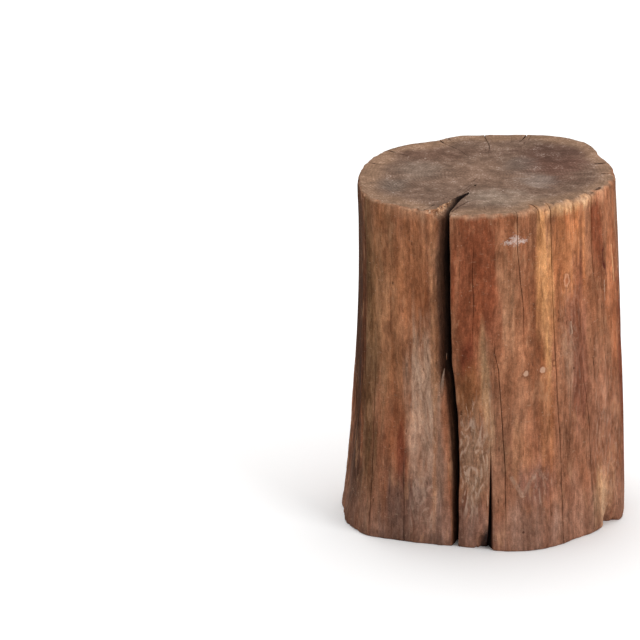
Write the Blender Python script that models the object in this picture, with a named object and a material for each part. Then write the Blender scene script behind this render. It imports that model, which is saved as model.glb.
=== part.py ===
"""A section of tree trunk, peeled and sawn flat at both ends, that stands as a stool or a side table.

Metres, +Z up. The origin is the middle of the foot. Directions are degrees round the pith, seen from above,
from +X towards +Y, so the front, with the deep drying split, is at 270. Splits and checks are cut as wedges.
"""

import math
from collections import namedtuple

import bmesh
import bpy
from mathutils import Vector

MM = 0.001
HEIGHT = 0.450
WAIST_HEIGHT = 0.240
PITH = Vector((-0.0006, -0.0033, 0.0))

# Distance from the pith to the surface in mm: (direction, at the foot, at the waist, at the top)
OUTLINE = (
    (0, 182, 175, 165),
    (14, 181, 174, 165),
    (30, 178, 172, 172),
    (46, 182, 180, 188),
    (60, 184, 182, 188),
    (74, 176, 172, 174),
    (90, 170, 164, 165),
    (101, 170, 163, 166),
    (112, 168, 158, 155),
    (130, 172, 160, 157),
    (150, 178, 162, 156),
    (170, 182, 163, 156),
    (186, 184, 164, 162),
    (196, 187, 167, 167),
    (207, 187, 171, 174),
    (216, 183, 171, 175),
    (226, 169, 164, 171.5),
    (236, 160, 158, 168),
    (244, 154, 158, 173.5),
    (255, 150, 157, 170),
    (263, 152, 156, 166),
    (275, 160, 156, 161.5),
    (284, 168, 158, 157),
    (292, 171.5, 158, 147),
    (303, 171, 157, 146.5),
    (313, 168, 158, 149),
    (325, 169.5, 161, 152),
    (335, 170, 165, 153),
    (345, 184, 171, 158),
    (354, 185, 174.5, 164),
)

# The skin of the trunk
SEGMENTS = 120
ROW_GAP = 0.034
# Rings of the rounded foot edge and of the worn rim: (mm in from the surface, mm from the sawn face)
FOOT_EDGE = ((2.5, 0), (0.7, 2.5), (0, 7))
RIM_EDGE = ((0, 11), (1.3, 5), (4, 2), (10, 0.7), (24, 0))
# How much deeper the rim is worn on its right front than elsewhere
RIM_WEAR = 0.45
RIM_WEAR_DIRECTION = 310

# The deep split: (height, left lip, right lip, mm from the pith to its inner end). Above, it stays as it is
SPLIT = (
    (0.000, 253.0, 257.0, 84),
    (0.050, 251.9, 256.5, 83),
    (0.095, 250.3, 256.1, 82),
    (0.145, 248.2, 255.5, 80),
    (0.200, 246.8, 254.4, 78),
    (0.240, 247.0, 253.5, 78),
    (0.290, 246.5, 253.6, 77),
    (0.340, 246.8, 253.5, 76),
    (0.395, 246.5, 253.2, 76),
)
# Degrees that its mouth flares outside the surface, and that its inner end lies right of the mouth's middle
MOUTH_FLARE = 0.5
SPLIT_END_TURN = 1.0
# Its walls, as (mm in from the surface, share of the mouth's width given up) on the left and on the right
SPLIT_LEFT_WALL = ((8, 0.26), (40, 0.36), (66, 0.52))
SPLIT_RIGHT_WALL = ((12, 0.12), (45, 0.17), (66, 0.24))
# The worn left lip slopes into the split on the top face: (mm below the face, mm of extra width)
LIP_SLOPE = ((12, 0), (8.5, 2.5), (4.5, 6.5), (0, 12), (-5, 18))

# A check is a crack from drying. Width and depth are in mm at the surface. Reach is how near to the pith it
# runs across the top face, in mm, or 0 for one that doesn't. Its route is (direction, height) points
Check = namedtuple("Check", "name width depth reach route")
CHECKS = (
    Check(
        "front_left", 2.0, 14, 119,
        ((283, HEIGHT), (283.6, 0.40), (285, 0.367), (287, 0.319), (287.3, 0.288)),
    ),
    Check(
        "front_middle", 3.0, 20, 0,
        ((273.5, 0.264), (275.6, 0.24), (277.3, 0.176), (278.9, 0.11), (279.4, 0.012)),
    ),
    Check(
        "front_right", 2.4, 20, 86,
        ((302.9, HEIGHT), (302.8, 0.375), (304.0, 0.265), (306, 0.14), (306.5, 0)),
    ),
    Check("right_upper", 2.4, 12, 134, ((329.4, HEIGHT), (328.2, 0.376), (329.0, 0.335))),
    Check(
        "right_lower", 2.2, 12, 0,
        ((320.4, 0.236), (323.9, 0.154), (324.4, 0.078), (326.1, 0.034), (325.4, 0)),
    ),
    Check("left_foot", 2.6, 16, 0, ((215.2, 0.212), (215.1, 0.155), (215.6, 0.104), (216.5, 0))),
    Check("left_low", 2.0, 10, 0, ((230.0, 0.09), (230.6, 0.045), (231, 0))),
    Check("left_upper", 2.0, 10, 0, ((207.9, 0.412), (205.4, 0.34), (206.9, 0.228), (208.8, 0.19))),
    Check("side_rim", 2.0, 10, 125, ((1.5, HEIGHT), (0.8, 0.385), (1.3, 0.325))),
    Check("side_upper", 2.6, 16, 136, ((17.4, HEIGHT), (17.0, 0.36), (18.2, 0.25), (17.5, 0.13))),
    Check("side_foot", 2.4, 14, 0, ((38.5, 0.19), (37.2, 0.08), (38, 0))),
    Check(
        "rear_right", 2.6, 20, 143,
        ((70.5, HEIGHT), (71.5, 0.36), (70.2, 0.24), (71.8, 0.12), (71, 0)),
    ),
    Check("rear_rim", 2.2, 14, 95, ((88.3, HEIGHT), (88.9, 0.39), (87.9, 0.30))),
    Check(
        "rear_left", 3.4, 26, 77,
        ((110.8, HEIGHT), (111.6, 0.37), (110.4, 0.27), (111.9, 0.17), (111.3, 0)),
    ),
    Check("rear_side", 2.2, 14, 121, ((140.5, HEIGHT), (139.8, 0.37), (141.2, 0.28), (140.6, 0.20))),
    Check("rear_foot", 2.4, 16, 0, ((153.6, 0.17), (152.4, 0.09), (153, 0))),
    Check("left_rim", 2.0, 10, 135, ((161.5, HEIGHT), (161, 0.40), (161.8, 0.335))),
)
# On the top face a check is this deep at the rim, and its inner end is a slit of this width, both in mm
TOP_CHECK_DEPTH = 6
TOP_CHECK_TIP = 0.3
# Where a wedge runs out, its tip is this far outside the surface, in mm
RUN_OUT = 1
# The short wedge split beside the deep one: (height, direction of its middle, mm wide, mm deep)
FOOT_SPLIT = (
    (0.000, 272.6, 7.0, 46),
    (0.045, 272.9, 6.0, 40),
    (0.085, 272.8, 4.0, 28),
    (0.112, 272.5, 2.2, 16),
    (0.136, 272.2, 1.0, -RUN_OUT),
)

# A chip is broken out of an end's edge. Its stations are (mm from that end, from and to direction, mm deep)
Chip = namedtuple("Chip", "name at_top stations")
CHIP_TILT = 0.85
CHIPS = (
    Chip("by_split", False, ((0, 267.2, 273.2, 15), (16, 269.2, 273.1, 11), (38, 271.8, 273.0, -RUN_OUT))),
    Chip("right_foot", False, ((0, 333.6, 342.6, 17), (14, 334.6, 341.6, 12), (32, 336.5, 340.0, -RUN_OUT))),
    Chip("front_rim", True, ((0, 290.4, 294.2, 9), (8, 291.4, 293.8, 5), (17, 292.4, 293.4, -RUN_OUT))),
    Chip("right_rim", True, ((0, 331.2, 335.2, 8), (5, 331.6, 334.6, 5), (11, 332.2, 333.6, -RUN_OUT))),
)

# The splinter in the mouth of the deep split: (height, direction, mm in from the surface, mm wide)
SPLINTER = ((0.196, 246.9, 6, 9), (0.214, 248.3, 5, 7.5), (0.232, 249.5, 4.5, 5.5), (0.252, 250.9, 5, 1.6))
SPLINTER_THICKNESS = 5

CUT_PAST = 5 * MM
SHARP_EDGE = math.radians(35)


def spin_point(direction, distance, height):
    """The point at this distance in mm from the pith, in this direction, at this height."""
    angle = math.radians(direction)
    return PITH + Vector((distance * MM * math.cos(angle), distance * MM * math.sin(angle), height))


def around(direction, column):
    """The outline at a direction, by a smooth closed curve through the points of one column."""
    turned = direction % 360
    count = len(OUTLINE)
    at = max(i for i in range(count) if OUTLINE[i][0] <= turned)
    near = [OUTLINE[(at + step) % count] for step in (-1, 0, 1, 2)]
    angles = [row[0] + 360 * ((at + step) // count) for row, step in zip(near, (-1, 0, 1, 2))]
    values = [row[column] for row in near]
    span = angles[2] - angles[1]
    into = (values[2] - values[0]) / (angles[2] - angles[0]) * span
    out = (values[3] - values[1]) / (angles[3] - angles[1]) * span
    t = (turned - angles[1]) / span
    rise = t * t * (3 - 2 * t)
    return values[1] + (values[2] - values[1]) * rise + into * t * (1 - t) ** 2 + out * t * t * (t - 1)


def radius(direction, height):
    """Distance in mm from the pith to the surface. It follows the parabola through foot, waist and top."""
    z = min(max(height, 0), HEIGHT)
    foot = (z - WAIST_HEIGHT) * (z - HEIGHT) / (WAIST_HEIGHT * HEIGHT)
    waist = z * (HEIGHT - z) / (WAIST_HEIGHT * (HEIGHT - WAIST_HEIGHT))
    top = z * (z - WAIST_HEIGHT) / (HEIGHT * (HEIGHT - WAIST_HEIGHT))
    return foot * around(direction, 1) + waist * around(direction, 2) + top * around(direction, 3)


def part_way(rows, height):
    """The row of numbers at a height, between rows that start with theirs."""
    if height <= rows[0][0]:
        return rows[0][1:]
    for low, high in zip(rows, rows[1:]):
        if height <= high[0]:
            t = (height - low[0]) / (high[0] - low[0])
            return [a + (b - a) * t for a, b in zip(low[1:], high[1:])]
    return rows[-1][1:]


def loft(name, rings, collection):
    """A closed solid over rings of equally many points, with a flat cap on the first and on the last."""
    bm = bmesh.new()
    loops = [[bm.verts.new(point) for point in ring] for ring in rings]
    sides = []
    for lower, upper in zip(loops, loops[1:]):
        for i in range(len(lower)):
            j = (i + 1) % len(lower)
            sides.append(bm.faces.new((lower[i], lower[j], upper[j], upper[i])))
    bmesh.ops.triangulate(bm, faces=sides)
    bm.faces.new(loops[0][::-1])
    bm.faces.new(loops[-1])
    bmesh.ops.recalc_face_normals(bm, faces=bm.faces)
    mesh = bpy.data.meshes.new(name)
    bm.to_mesh(mesh)
    bm.free()
    made = bpy.data.objects.new(name, mesh)
    collection.objects.link(made)
    return made


def trunk_skin(collection):
    """The whole trunk before it split: rings from the foot's edge, up the side and over the worn rim."""
    directions = [360 * k / SEGMENTS for k in range(SEGMENTS)]
    start, end = FOOT_EDGE[-1][1] * MM, HEIGHT - RIM_EDGE[0][1] * MM
    rows = math.ceil((end - start) / ROW_GAP)
    foot = [(inset, rise * MM) for inset, rise in FOOT_EDGE]
    side = [(0, start + (end - start) * k / rows) for k in range(1, rows)]
    rings = []
    for inset, height in foot + side:
        rings.append([spin_point(turn, radius(turn, height) - inset, height) for turn in directions])
    for inset, drop in RIM_EDGE:
        ring = []
        for turn in directions:
            worn = 1 + RIM_WEAR * math.cos(math.radians(turn - RIM_WEAR_DIRECTION))
            height = HEIGHT - drop * MM * worn
            ring.append(spin_point(turn, radius(turn, height) - inset * worn, height))
        rings.append(ring)
    return loft("trunk", rings, collection)


def split_ring(height, extra=0):
    """The deep split's outline at a height, from its left lip round its inner end to its right lip."""
    left, right, end = part_way(SPLIT, height)
    surface = radius((left + right) / 2, height)
    past = CUT_PAST / MM
    left -= math.degrees(extra / surface)
    walls = [(left - MOUTH_FLARE, -past), (left, 0)]
    walls += [(left + (right - left) * share, inset) for inset, share in SPLIT_LEFT_WALL]
    walls += [((left + right) / 2 + SPLIT_END_TURN, surface - end)]
    walls += [(right - (right - left) * share, inset) for inset, share in reversed(SPLIT_RIGHT_WALL)]
    walls += [(right, 0), (right + MOUTH_FLARE, -past)]
    return [spin_point(direction, surface - inset, height) for direction, inset in walls]


def deep_split(collection):
    rings = []
    for row in ((-CUT_PAST,) + SPLIT[0][1:],) + SPLIT:
        ring = split_ring(max(row[0], 0))
        rings.append([Vector((p.x, p.y, row[0])) for p in ring])
    rings += [split_ring(HEIGHT - below * MM, extra) for below, extra in LIP_SLOPE]
    return loft("cut_deep_split", rings, collection)


def wedge_ring(direction, height, width, depth, place=None):
    """A triangle at a height: its mouth past the surface, wider there, and its tip at the wedge's depth."""
    surface = radius(direction, height)
    past = CUT_PAST / MM
    half = math.degrees(width / 2 / surface) * (1 + past / max(depth, past))
    z = height if place is None else place
    return [
        spin_point(direction - half, surface + past, z),
        spin_point(direction, surface - depth, z),
        spin_point(direction + half, surface + past, z),
    ]


def side_check(check, collection):
    """A check's wedge down the side. It runs out to nothing except where it reaches the foot or the top."""
    last = len(check.route) - 1
    rings = []
    for k, (direction, height) in enumerate(check.route):
        sawn = height in (0, HEIGHT)
        fades = k in (0, last) and not sawn
        depth = -RUN_OUT if fades else check.depth
        place = {0: -CUT_PAST, HEIGHT: HEIGHT + CUT_PAST}.get(height)
        rings.append(wedge_ring(direction, height, check.width, depth))
        if place is not None:
            beyond = wedge_ring(direction, height, check.width, depth, place)
            rings.insert(k if k == 0 else len(rings), beyond)
    return loft("cut_" + check.name, rings, collection)


def top_check(check, collection):
    """The same check across the top face, shallower and narrower towards the pith."""
    direction = check.route[0][0]
    rim = radius(direction, HEIGHT)
    rings = []
    for distance, share in ((rim + 3, 1), ((rim + check.reach) / 2, 0.75), (check.reach, 0)):
        half = math.degrees((TOP_CHECK_TIP + check.width * share) / 2 / distance)
        bottom = HEIGHT - TOP_CHECK_DEPTH * MM * share if share else HEIGHT + MM
        rings.append(
            [
                spin_point(direction - half, distance, HEIGHT + CUT_PAST),
                spin_point(direction, distance, bottom),
                spin_point(direction + half, distance, HEIGHT + CUT_PAST),
            ]
        )
    return loft("cut_top_" + check.name, rings, collection)


def foot_split(collection):
    rows = ((-CUT_PAST,) + FOOT_SPLIT[0][1:],) + FOOT_SPLIT
    rings = [wedge_ring(direction, max(z, 0), width, depth, z) for z, direction, width, depth in rows]
    return loft("cut_foot_split", rings, collection)


def chip(spec, collection):
    """A broken edge: a four-sided scoop that is widest and deepest at the sawn face."""
    rings = []
    for k, (away, start, stop, depth) in enumerate(spec.stations):
        height = HEIGHT - away * MM if spec.at_top else away * MM
        outward = 1 if spec.at_top else -1
        surface = radius((start + stop) / 2, height)
        slant = (stop - start) / 4
        past = CUT_PAST / MM
        corners = [(start, -past), (start + slant, depth), (stop - slant, depth * CHIP_TILT), (stop, -past)]
        ring = [spin_point(direction, surface - inset, height) for direction, inset in corners]
        if k == 0:
            rings.append([p + Vector((0, 0, outward * CUT_PAST)) for p in ring])
        rings.append(ring)
    return loft("cut_chip_" + spec.name, rings, collection)


def splinter(collection):
    """A sliver torn from the left lip: rooted in the wood at its foot, free and pointed at its top."""
    rings = []
    for height, direction, inset, width in SPLINTER:
        outer = radius(direction, height) - inset
        inner = outer - min(SPLINTER_THICKNESS, width)
        half = math.degrees(width / 2 / outer)
        corners = ((direction - half, outer), (direction + half, outer), (direction + half, inner))
        ring = [spin_point(*corner, height) for corner in corners]
        rings.append(ring + [spin_point(direction - half, inner, height)])
    return loft("join_splinter", rings, collection)


def add_boolean(target, operation, other):
    modifier = target.modifiers.new(other.name, "BOOLEAN")
    modifier.operation = operation
    modifier.solver = "EXACT"
    modifier.object = other
    other.hide_render = True
    other.display_type = "WIRE"


def wood():
    """Oiled, peeled wood: a plain red-brown for the solid."""
    material = bpy.data.materials.new("oiled_wood")
    material.use_nodes = True
    shader = material.node_tree.nodes["Principled BSDF"]
    shader.inputs["Base Color"].default_value = (0.29, 0.13, 0.065, 1)
    shader.inputs["Roughness"].default_value = 0.55
    shader.inputs["Metallic"].default_value = 0
    return material


def clear_scene():
    for old in list(bpy.data.objects):
        bpy.data.objects.remove(old)


def new_collection(name):
    made = bpy.data.collections.new(name)
    bpy.context.scene.collection.children.link(made)
    return made


def build():
    clear_scene()
    parts = new_collection("tree_trunk")
    cutters = new_collection("cutters")
    trunk = trunk_skin(parts)
    cuts = [deep_split(cutters), foot_split(cutters)]
    cuts += [side_check(check, cutters) for check in CHECKS]
    cuts += [top_check(check, cutters) for check in CHECKS if check.reach]
    cuts += [chip(spec, cutters) for spec in CHIPS]
    for cut in cuts:
        add_boolean(trunk, "DIFFERENCE", cut)
    add_boolean(trunk, "UNION", splinter(cutters))
    trunk.data.materials.append(wood())
    trunk.data.shade_smooth()
    trunk.data.set_sharp_from_angle(angle=SHARP_EDGE)


build()
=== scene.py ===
import math
from collections import namedtuple

import bpy
import numpy as np
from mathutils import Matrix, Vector


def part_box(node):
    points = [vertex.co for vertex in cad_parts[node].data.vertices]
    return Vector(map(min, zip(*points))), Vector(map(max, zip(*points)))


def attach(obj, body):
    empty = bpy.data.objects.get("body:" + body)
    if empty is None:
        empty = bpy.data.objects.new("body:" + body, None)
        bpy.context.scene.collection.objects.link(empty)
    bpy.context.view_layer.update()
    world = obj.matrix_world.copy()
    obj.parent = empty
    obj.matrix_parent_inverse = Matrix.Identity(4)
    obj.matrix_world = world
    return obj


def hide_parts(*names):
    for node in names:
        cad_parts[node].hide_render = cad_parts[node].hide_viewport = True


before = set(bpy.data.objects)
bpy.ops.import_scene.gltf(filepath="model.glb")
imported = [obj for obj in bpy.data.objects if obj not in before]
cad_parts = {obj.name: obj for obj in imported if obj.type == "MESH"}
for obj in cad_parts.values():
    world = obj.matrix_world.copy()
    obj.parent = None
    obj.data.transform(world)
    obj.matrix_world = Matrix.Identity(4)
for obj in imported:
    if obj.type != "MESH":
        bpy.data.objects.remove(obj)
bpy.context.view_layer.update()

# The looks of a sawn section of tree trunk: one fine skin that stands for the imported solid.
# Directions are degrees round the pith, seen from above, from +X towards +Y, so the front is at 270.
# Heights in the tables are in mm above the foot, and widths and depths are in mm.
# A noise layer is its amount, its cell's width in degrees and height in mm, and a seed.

MM = 0.001
LOW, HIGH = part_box("trunk")
HEIGHT = (HIGH.z - LOW.z) / MM
WAIST = 240
PITH = (-0.6, -3.3)

# Distance from the pith to the surface: (direction, at the foot, at the waist, at the top)
OUTLINE = np.array((
    (0, 182, 177, 166), (14, 181, 175.5, 167), (30, 178, 172, 175), (46, 182, 180, 192),
    (60, 184, 182, 190), (74, 176, 172, 176), (90, 170, 164, 167), (101, 170, 163, 167.5),
    (112, 168, 158, 157), (130, 172, 160, 160), (150, 178, 162, 160), (170, 180, 163, 158),
    (186, 182.5, 162.5, 163), (196, 187, 165.5, 168), (207, 186.5, 170, 174.5), (216, 183, 171, 175),
    (226, 169, 164, 171.5), (236, 160, 158, 168), (244, 154, 158, 173.5), (255, 150, 157, 170),
    (263, 152, 156, 166), (275, 160, 156, 161.5), (284, 168, 158, 157), (292, 171.5, 158, 147),
    (303, 171, 157, 146.5), (313, 168, 158, 149), (325, 172, 161.5, 152), (335, 174, 166, 154),
    (345, 186, 173, 160), (354, 185.5, 177, 166),
))

# A crack's route is (direction, height) points, up the trunk. Past its ends only its columns go on.
# Reach is how near to the pith it runs across the top, or 0 where it doesn't
Crack = namedtuple("Crack", "name width depth reach route")
CHECKS = [Crack(*row) for row in (
    ("front_left", 0.8, 3.2, 99, ((287.3, 288), (287, 319), (285, 367), (283.6, 400), (283, 450))),
    ("front_middle", 0.9, 4.2, 0, ((279.2, 48), (278.9, 110), (277.3, 176), (275.6, 240), (273.5, 264))),
    ("front_right", 1.0, 4.4, 86, ((306.5, 0), (306, 140), (304.0, 265), (302.8, 375), (302.9, 450))),
    ("right_upper", 2.0, 5, 134, ((329.0, 335), (328.2, 376), (329.4, 450))),
    ("right_lower", 1.0, 4, 0, ((325.4, 0), (326.1, 34), (324.4, 78), (323.9, 154), (320.4, 236))),
    ("left_foot", 1.5, 7, 0, ((216.5, 0), (215.6, 104), (215.1, 155), (215.2, 212))),
    ("left_low", 1.2, 8, 0, ((231, 0), (230.6, 45), (230.0, 90))),
    ("left_upper", 1.5, 8, 0, ((208.8, 190), (206.9, 228), (205.4, 340), (207.9, 412))),
    ("side_rim", 1.6, 10, 117, ((1.3, 325), (0.8, 385), (1.5, 450))),
    ("side_upper", 2.4, 16, 136, ((17.5, 130), (18.2, 250), (17.0, 360), (17.4, 450))),
    ("side_foot", 2.2, 14, 0, ((38, 0), (37.2, 80), (38.5, 190))),
    ("rear_right", 1.9, 16, 143, ((71, 0), (71.8, 120), (70.2, 240), (71.5, 360), (70.5, 450))),
    ("rear_rim", 1.3, 9, 97, ((87.9, 300), (88.9, 390), (88.3, 450))),
    ("rear_left", 1.5, 14, 80, ((111.3, 0), (111.9, 170), (110.4, 270), (111.6, 370), (110.8, 450))),
    ("rear_side", 1.5, 12, 121, ((140.6, 200), (141.2, 280), (139.8, 370), (140.5, 450))),
    ("rear_foot", 2.2, 16, 0, ((153, 0), (152.4, 90), (153.6, 170))),
    ("left_rim", 1.8, 10, 135, ((161.8, 335), (161, 400), (161.5, 450))),
    ("foot_wedge", 7.6, 16, 0, ((272.2, 0), (272.5, 45), (272.5, 85), (272.4, 112), (272.2, 136))),
)]
# Fine checks that are too thin for the solid
HAIRLINES = [Crack(*row) for row in (
    ("hair_split", 0.8, 2.5, 0, ((263.2, 292), (263.6, 330), (263.0, 366), (263.4, 398))),
    ("hair_left_a", 0.9, 3, 0, ((223.2, 290), (223.6, 345))),
    ("hair_front", 1.4, 6, 120, ((297.0, 424), (294.8, 450))),
    ("hair_right_a", 0.9, 4, 0, ((299.2, 20), (299.6, 44))),
    ("hair_right_b", 0.9, 4, 0, ((311.5, 130), (312.4, 205))),
    ("hair_right_c", 1.0, 4, 120, ((316.8, 408), (316.2, 450))),
    ("hair_right_d", 0.9, 4, 0, ((338.6, 150), (337.8, 260))),
    ("hair_right_e", 1.0, 5, 0, ((343.5, 322), (342.8, 372))),
    ("hair_side", 0.9, 4, 0, ((351.0, 60), (350.2, 190))),
    ("hair_side_b", 0.9, 4, 0, ((26.5, 250), (26.0, 345))),
    ("hair_rear_a", 0.9, 4, 165, ((54.5, 400), (54.0, 450))),
    ("hair_rear_b", 0.9, 5, 0, ((60.2, 40), (60.8, 165))),
    ("hair_rear_c", 1.0, 6, 128, ((105.0, 380), (105.8, 450))),
    ("hair_rear_d", 0.9, 4, 0, ((124.5, 80), (125.4, 220))),
    ("hair_rear_e", 0.9, 4, 126, ((128.8, 396), (128.2, 450))),
    ("hair_rear_f", 0.9, 4, 0, ((171.8, 60), (172.6, 230))),
    ("hair_rear_g", 0.9, 4, 128, ((181.2, 392), (180.6, 450))),
    ("hair_rear_h", 0.9, 4, 0, ((189.6, 250), (190.2, 360))),
    ("hair_flank", 0.9, 4, 0, ((197.2, 90), (198.0, 240))),
)]
# Offsets of a crack's columns from its middle, as shares of half its width
CHECK_COLUMNS = (-2.2, -1.45, -1.05, -0.8, -0.45, -0.15, 0.15, 0.45, 0.8, 1.05, 1.45, 2.2)
HAIR_COLUMNS = (-2.4, -1.0, -0.4, 0.4, 1.0, 2.4)
CRACK_FADE = 26
CRACK_WANDER = (0.16, 30, 21)
CRACK_CURVE = 0.75
# A crack's half width: its least share near the ends, and its least mm
CRACK_THINNEST = (0.25, 0.3)
# Beside a crack the wood sinks: share of the half width, how near to it a column lies, and mm
SHOULDER = (1.05, 0.1, 0.25)
WEDGE_TOP = 136
WEDGE_NARROWS = 0.85
# On the top a crack is this deep where it is this deep at the rim, and it fades over these mm round its reach
TOP_CRACK_DEPTH = 5
TOP_CRACK_FULL = 8
TOP_CRACK_FADE = (-4, 30)

# The deep split: (height, direction) of its lips, and (height, distance from the pith) of its inner end
LEFT_LIP = np.array((
    (0, 253.5), (24, 253.3), (79, 252.5), (114, 251.0), (150, 248.3), (202, 245.9), (240, 246.0),
    (288, 246.1), (336, 245.5), (384, 245.1), (417, 245.6), (450, 245.6),
))
RIGHT_LIP = np.array((
    (0, 256.9), (24, 257.0), (75, 257.4), (124, 257.3), (166, 257.2), (194, 256.4), (218, 255.4),
    (243, 254.2), (278, 253.7), (319, 253.5), (450, 253.4),
))
SPLIT_END = np.array(((0, 84), (145, 80), (290, 77), (450, 76)))
SPLIT_END_TURN = 1.0
# The top's rays bend near a crack: (direction, bend in degrees, distance where it starts, and is full, width)
BENDS = (
    (252, 2.6, 108, 72, 9),
    (284, -7.0, 155, 98, 9),
    (303, -3.8, 150, 88, 8),
    (112, -6.4, 155, 80, 8),
    (88, -3.0, 165, 110, 7),
)
# Past that end a thin crack runs on: its depth, the share of the way from the pith where it ends, its columns
PITH_CRACK = (3.0, 0.42)
PITH_CRACK_COLUMNS = 2
# How each lip wanders: the direction where its noise is read, and the noise layer
LIP_WANDER = ((248, (0.2, 20, 18, 21)), (254, (0.25, 20, 18, 22)))
# The split's left wall starts as a bevel: (height, share of the mouth's width, mm in that stay lit)
BEVEL = np.array((
    (0, 0.12, 1), (80, 0.27, 4), (114, 0.32, 6), (150, 0.40, 8), (207, 0.41, 8), (222, 0.38, 7),
    (238, 0.14, 2.5), (290, 0.12, 3), (336, 0.18, 3), (384, 0.14, 3), (417, 0.30, 5), (450, 0.36, 6),
))
BEVEL_DEPTH = 8
BEVEL_CURVE = 0.8
LEFT_SHARE = 0.62
# The right wall: (distance in from the surface, share of the mouth's width given up); the inner ends meet
RIGHT_WALL = np.array(((0, 0), (2, 0.05), (12, 0.12), (45, 0.17), (66, 0.24)))
STRAIGHT_WALL = 66
WALL_COLUMNS = (0, 1, 2.2, 3.6, 5.2, 7, 9, 11.5, 14.5, 18, 22, 27, 33, 40, 48, 57, 66, 74)
# How far outside each lip of the split its rounding starts, and the columns there as shares of that
LEFT_ROUNDING = np.array(((0, 1.2), (120, 1.5), (200, 2), (240, 2.5), (262, 5), (450, 6)))
RIGHT_ROUNDING = np.array(((0, 1.5), (450, 1.5)))
LIP_COLUMNS = (1, 0.78, 0.56, 0.36, 0.18, 0.06)
# The worn left lip slopes into the split on the top face: (distance below the face, extra width)
LIP_SLOPE = np.array(((0, 13), (3, 9), (6.5, 5), (9.5, 1.8), (12, 0)))
LIP_SLOPE_NARROWS = 0.55
# The slope's lumps: noise layer, how much closer they lie inwards, and the mm of slope that has them all
LIP_LUMPS = ((2.4, 40, 5, 23),)
LUMP_STRETCH = 5
LUMPS_FULL = 4
# On the top face the worn slope keeps its light: mm below the face where it starts and is full, and mm in
SLOPE_FADE = (10.5, 3)
SLOPE_INWARD = (78, 38)
SLOPE_LIGHT = 0.85
# Painted shade in the split: how far past the lit part the walls are painted dark, first charcoal, then black
SHADE_START = 8
JUST_INSIDE = 0.01
CHARCOAL = (5, 12)
BLACK = (19, 44)
CHARCOAL_DEPTH = 0.25
# How far in the lip's rounding takes painted shade
LIP_DARK = (0.4, 3.6)

# Slivers in the split: name, thickness, and (height, direction, mm in from the surface, mm wide) points
SPLINTERS = (
    ("splinter", 4.5, (
        (180, 246.6, 10, 6),
        (199, 247.4, 8, 6),
        (213, 247.9, 7, 5.5),
        (222, 248.3, 7, 4.6),
        (231, 248.9, 7, 3.2),
        (240, 249.5, 7, 0.8),
    )),
    ("chip", 1.6, (
        (251, 250.2, 11, 0.7),
        (254, 250.2, 10, 1.3),
        (257, 250.3, 10, 1.2),
        (260, 250.4, 10, 0.5),
    )),
)
SPLINTER_SIDES = 10
SPLINTER_STEPS = 12
SPLINTER_ROUGH = ((0.18, 60, 7, 91),)
# A dent is scooped out of the side or an edge: middle, half sizes in degrees and mm, and depth
Dent = namedtuple("Dent", "name turn height half_turn half_height depth")
DENTS = [Dent(*row) for row in (
    ("foot_chip", 268.8, -5, 3.8, 36, 11),
    ("left_waist", 192, 92, 24, 118, 3.4),
    ("right_hollow", 338.2, -6, 5.6, 36, 18),
    ("rim_notch", 294.4, 453, 1.7, 16, 6),
    ("rim_chip", 333.4, 452, 2.3, 11, 6),
    ("rim_bite", 246.0, 454, 5.0, 12, 3),
    ("knot_hollow", 337.6, 358, 1.7, 15, 2.6),
    ("side_hollow", 342, 350, 3.0, 50, 1.6),
    ("flame_hollow", 262, 120, 6.5, 70, 1.8),
    ("grey_hollow", 238, 190, 6.5, 110, 1.2),
    ("peel_edge", 272.5, 225, 3.0, 60, 1.6),
    ("gully", 291, 330, 3.2, 130, 1.5),
    ("gully_low", 283.5, 120, 2.0, 90, 1.2),
    ("right_gully", 322, 290, 4.0, 120, 1.4),
    ("rear_knot", 60, 300, 5, 26, 4.0),
    ("rear_gully", 98, 220, 4, 160, 2.0),
    ("rear_scar", 146, 320, 5, 60, 2.2),
)]
DENT_RAGGED = (0.18, 1.6, 12)
DENT_EDGE = (1.0, 0.35)
# How much painted shade a dent takes, beside a crack of the same depth
DENT_SHADE = 0.16

# The skin's rows and rings
COLUMN_GAP = 1.9
NARROWEST_GAP = 0.02
TYPICAL_RADIUS = 165
ROW_GAP = 5.8
FIRST_SIDE_ROW = 8
FOOT_ROWS = ((2.2, 0), (0.9, 1.4), (0.2, 4))
RIM_STEPS = (0, 0.14, 0.28, 0.42, 0.56, 0.7, 0.84, 1)
RIM_SIZE = 5.2
# Where the rim's rows start, in rim sizes below the top, and how little and how much it may be worn
RIM_STARTS = 2.4
RIM_LIMITS = (0.25, 2.1)
# How worn the rim is: everywhere, how much more towards one side, and that side's direction
RIM_WEAR = (0.85, 0.45, 300)
RIM_UNEVEN = ((0.45, 5, 50, 31), (0.3, 1.9, 50, 32))
# Where the rim is worn to a slope: direction, half its width in degrees, and how much more it wears
RIM_SLOPE = (318, 17, 0.75)
TOP_RINGS = (0.975, 0.94, 0.9, 0.855, 0.8, 0.74, 0.675, 0.605, 0.53)
TOP_HALVED = (0.44, 0.33, 0.22, 0.11)
FOOT_RINGS = (0.97, 0.9)
FOOT_HALVED = (0.74, 0.55, 0.36, 0.17)
# The bare wood's relief, from broad flutes down to fibres, along a grain that leans and wavers
RELIEF = ((1.1, 9, 260, 11), (0.7, 4, 150, 12), (0.42, 2.1, 80, 13), (0.26, 1.2, 42, 14))
RELIEF_SUNK = 0.5
GRAIN_LEAN = 0.012
GRAIN_WAVER = ((1.3, 12, 90, 3),)
# In the split the relief gives way to a rough wall: mm in, noise layer, and how much closer it lies inwards
RELIEF_FADE = (20, 0)
WALL_ROUGH_FADE = (4, 20)
WALL_ROUGH = ((1.2, 8, 22, 41),)
WALL_STRETCH = 9
TOP_UNEVEN = ((0.35, 5, 9, 71),)
TOP_SUNK = 0.35
# The kinds of surface. A sliver's vertices count on from 3, at its base, to 4, at its tip
SIDE, TOP, FOOT, SLIVER = range(4)


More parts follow.
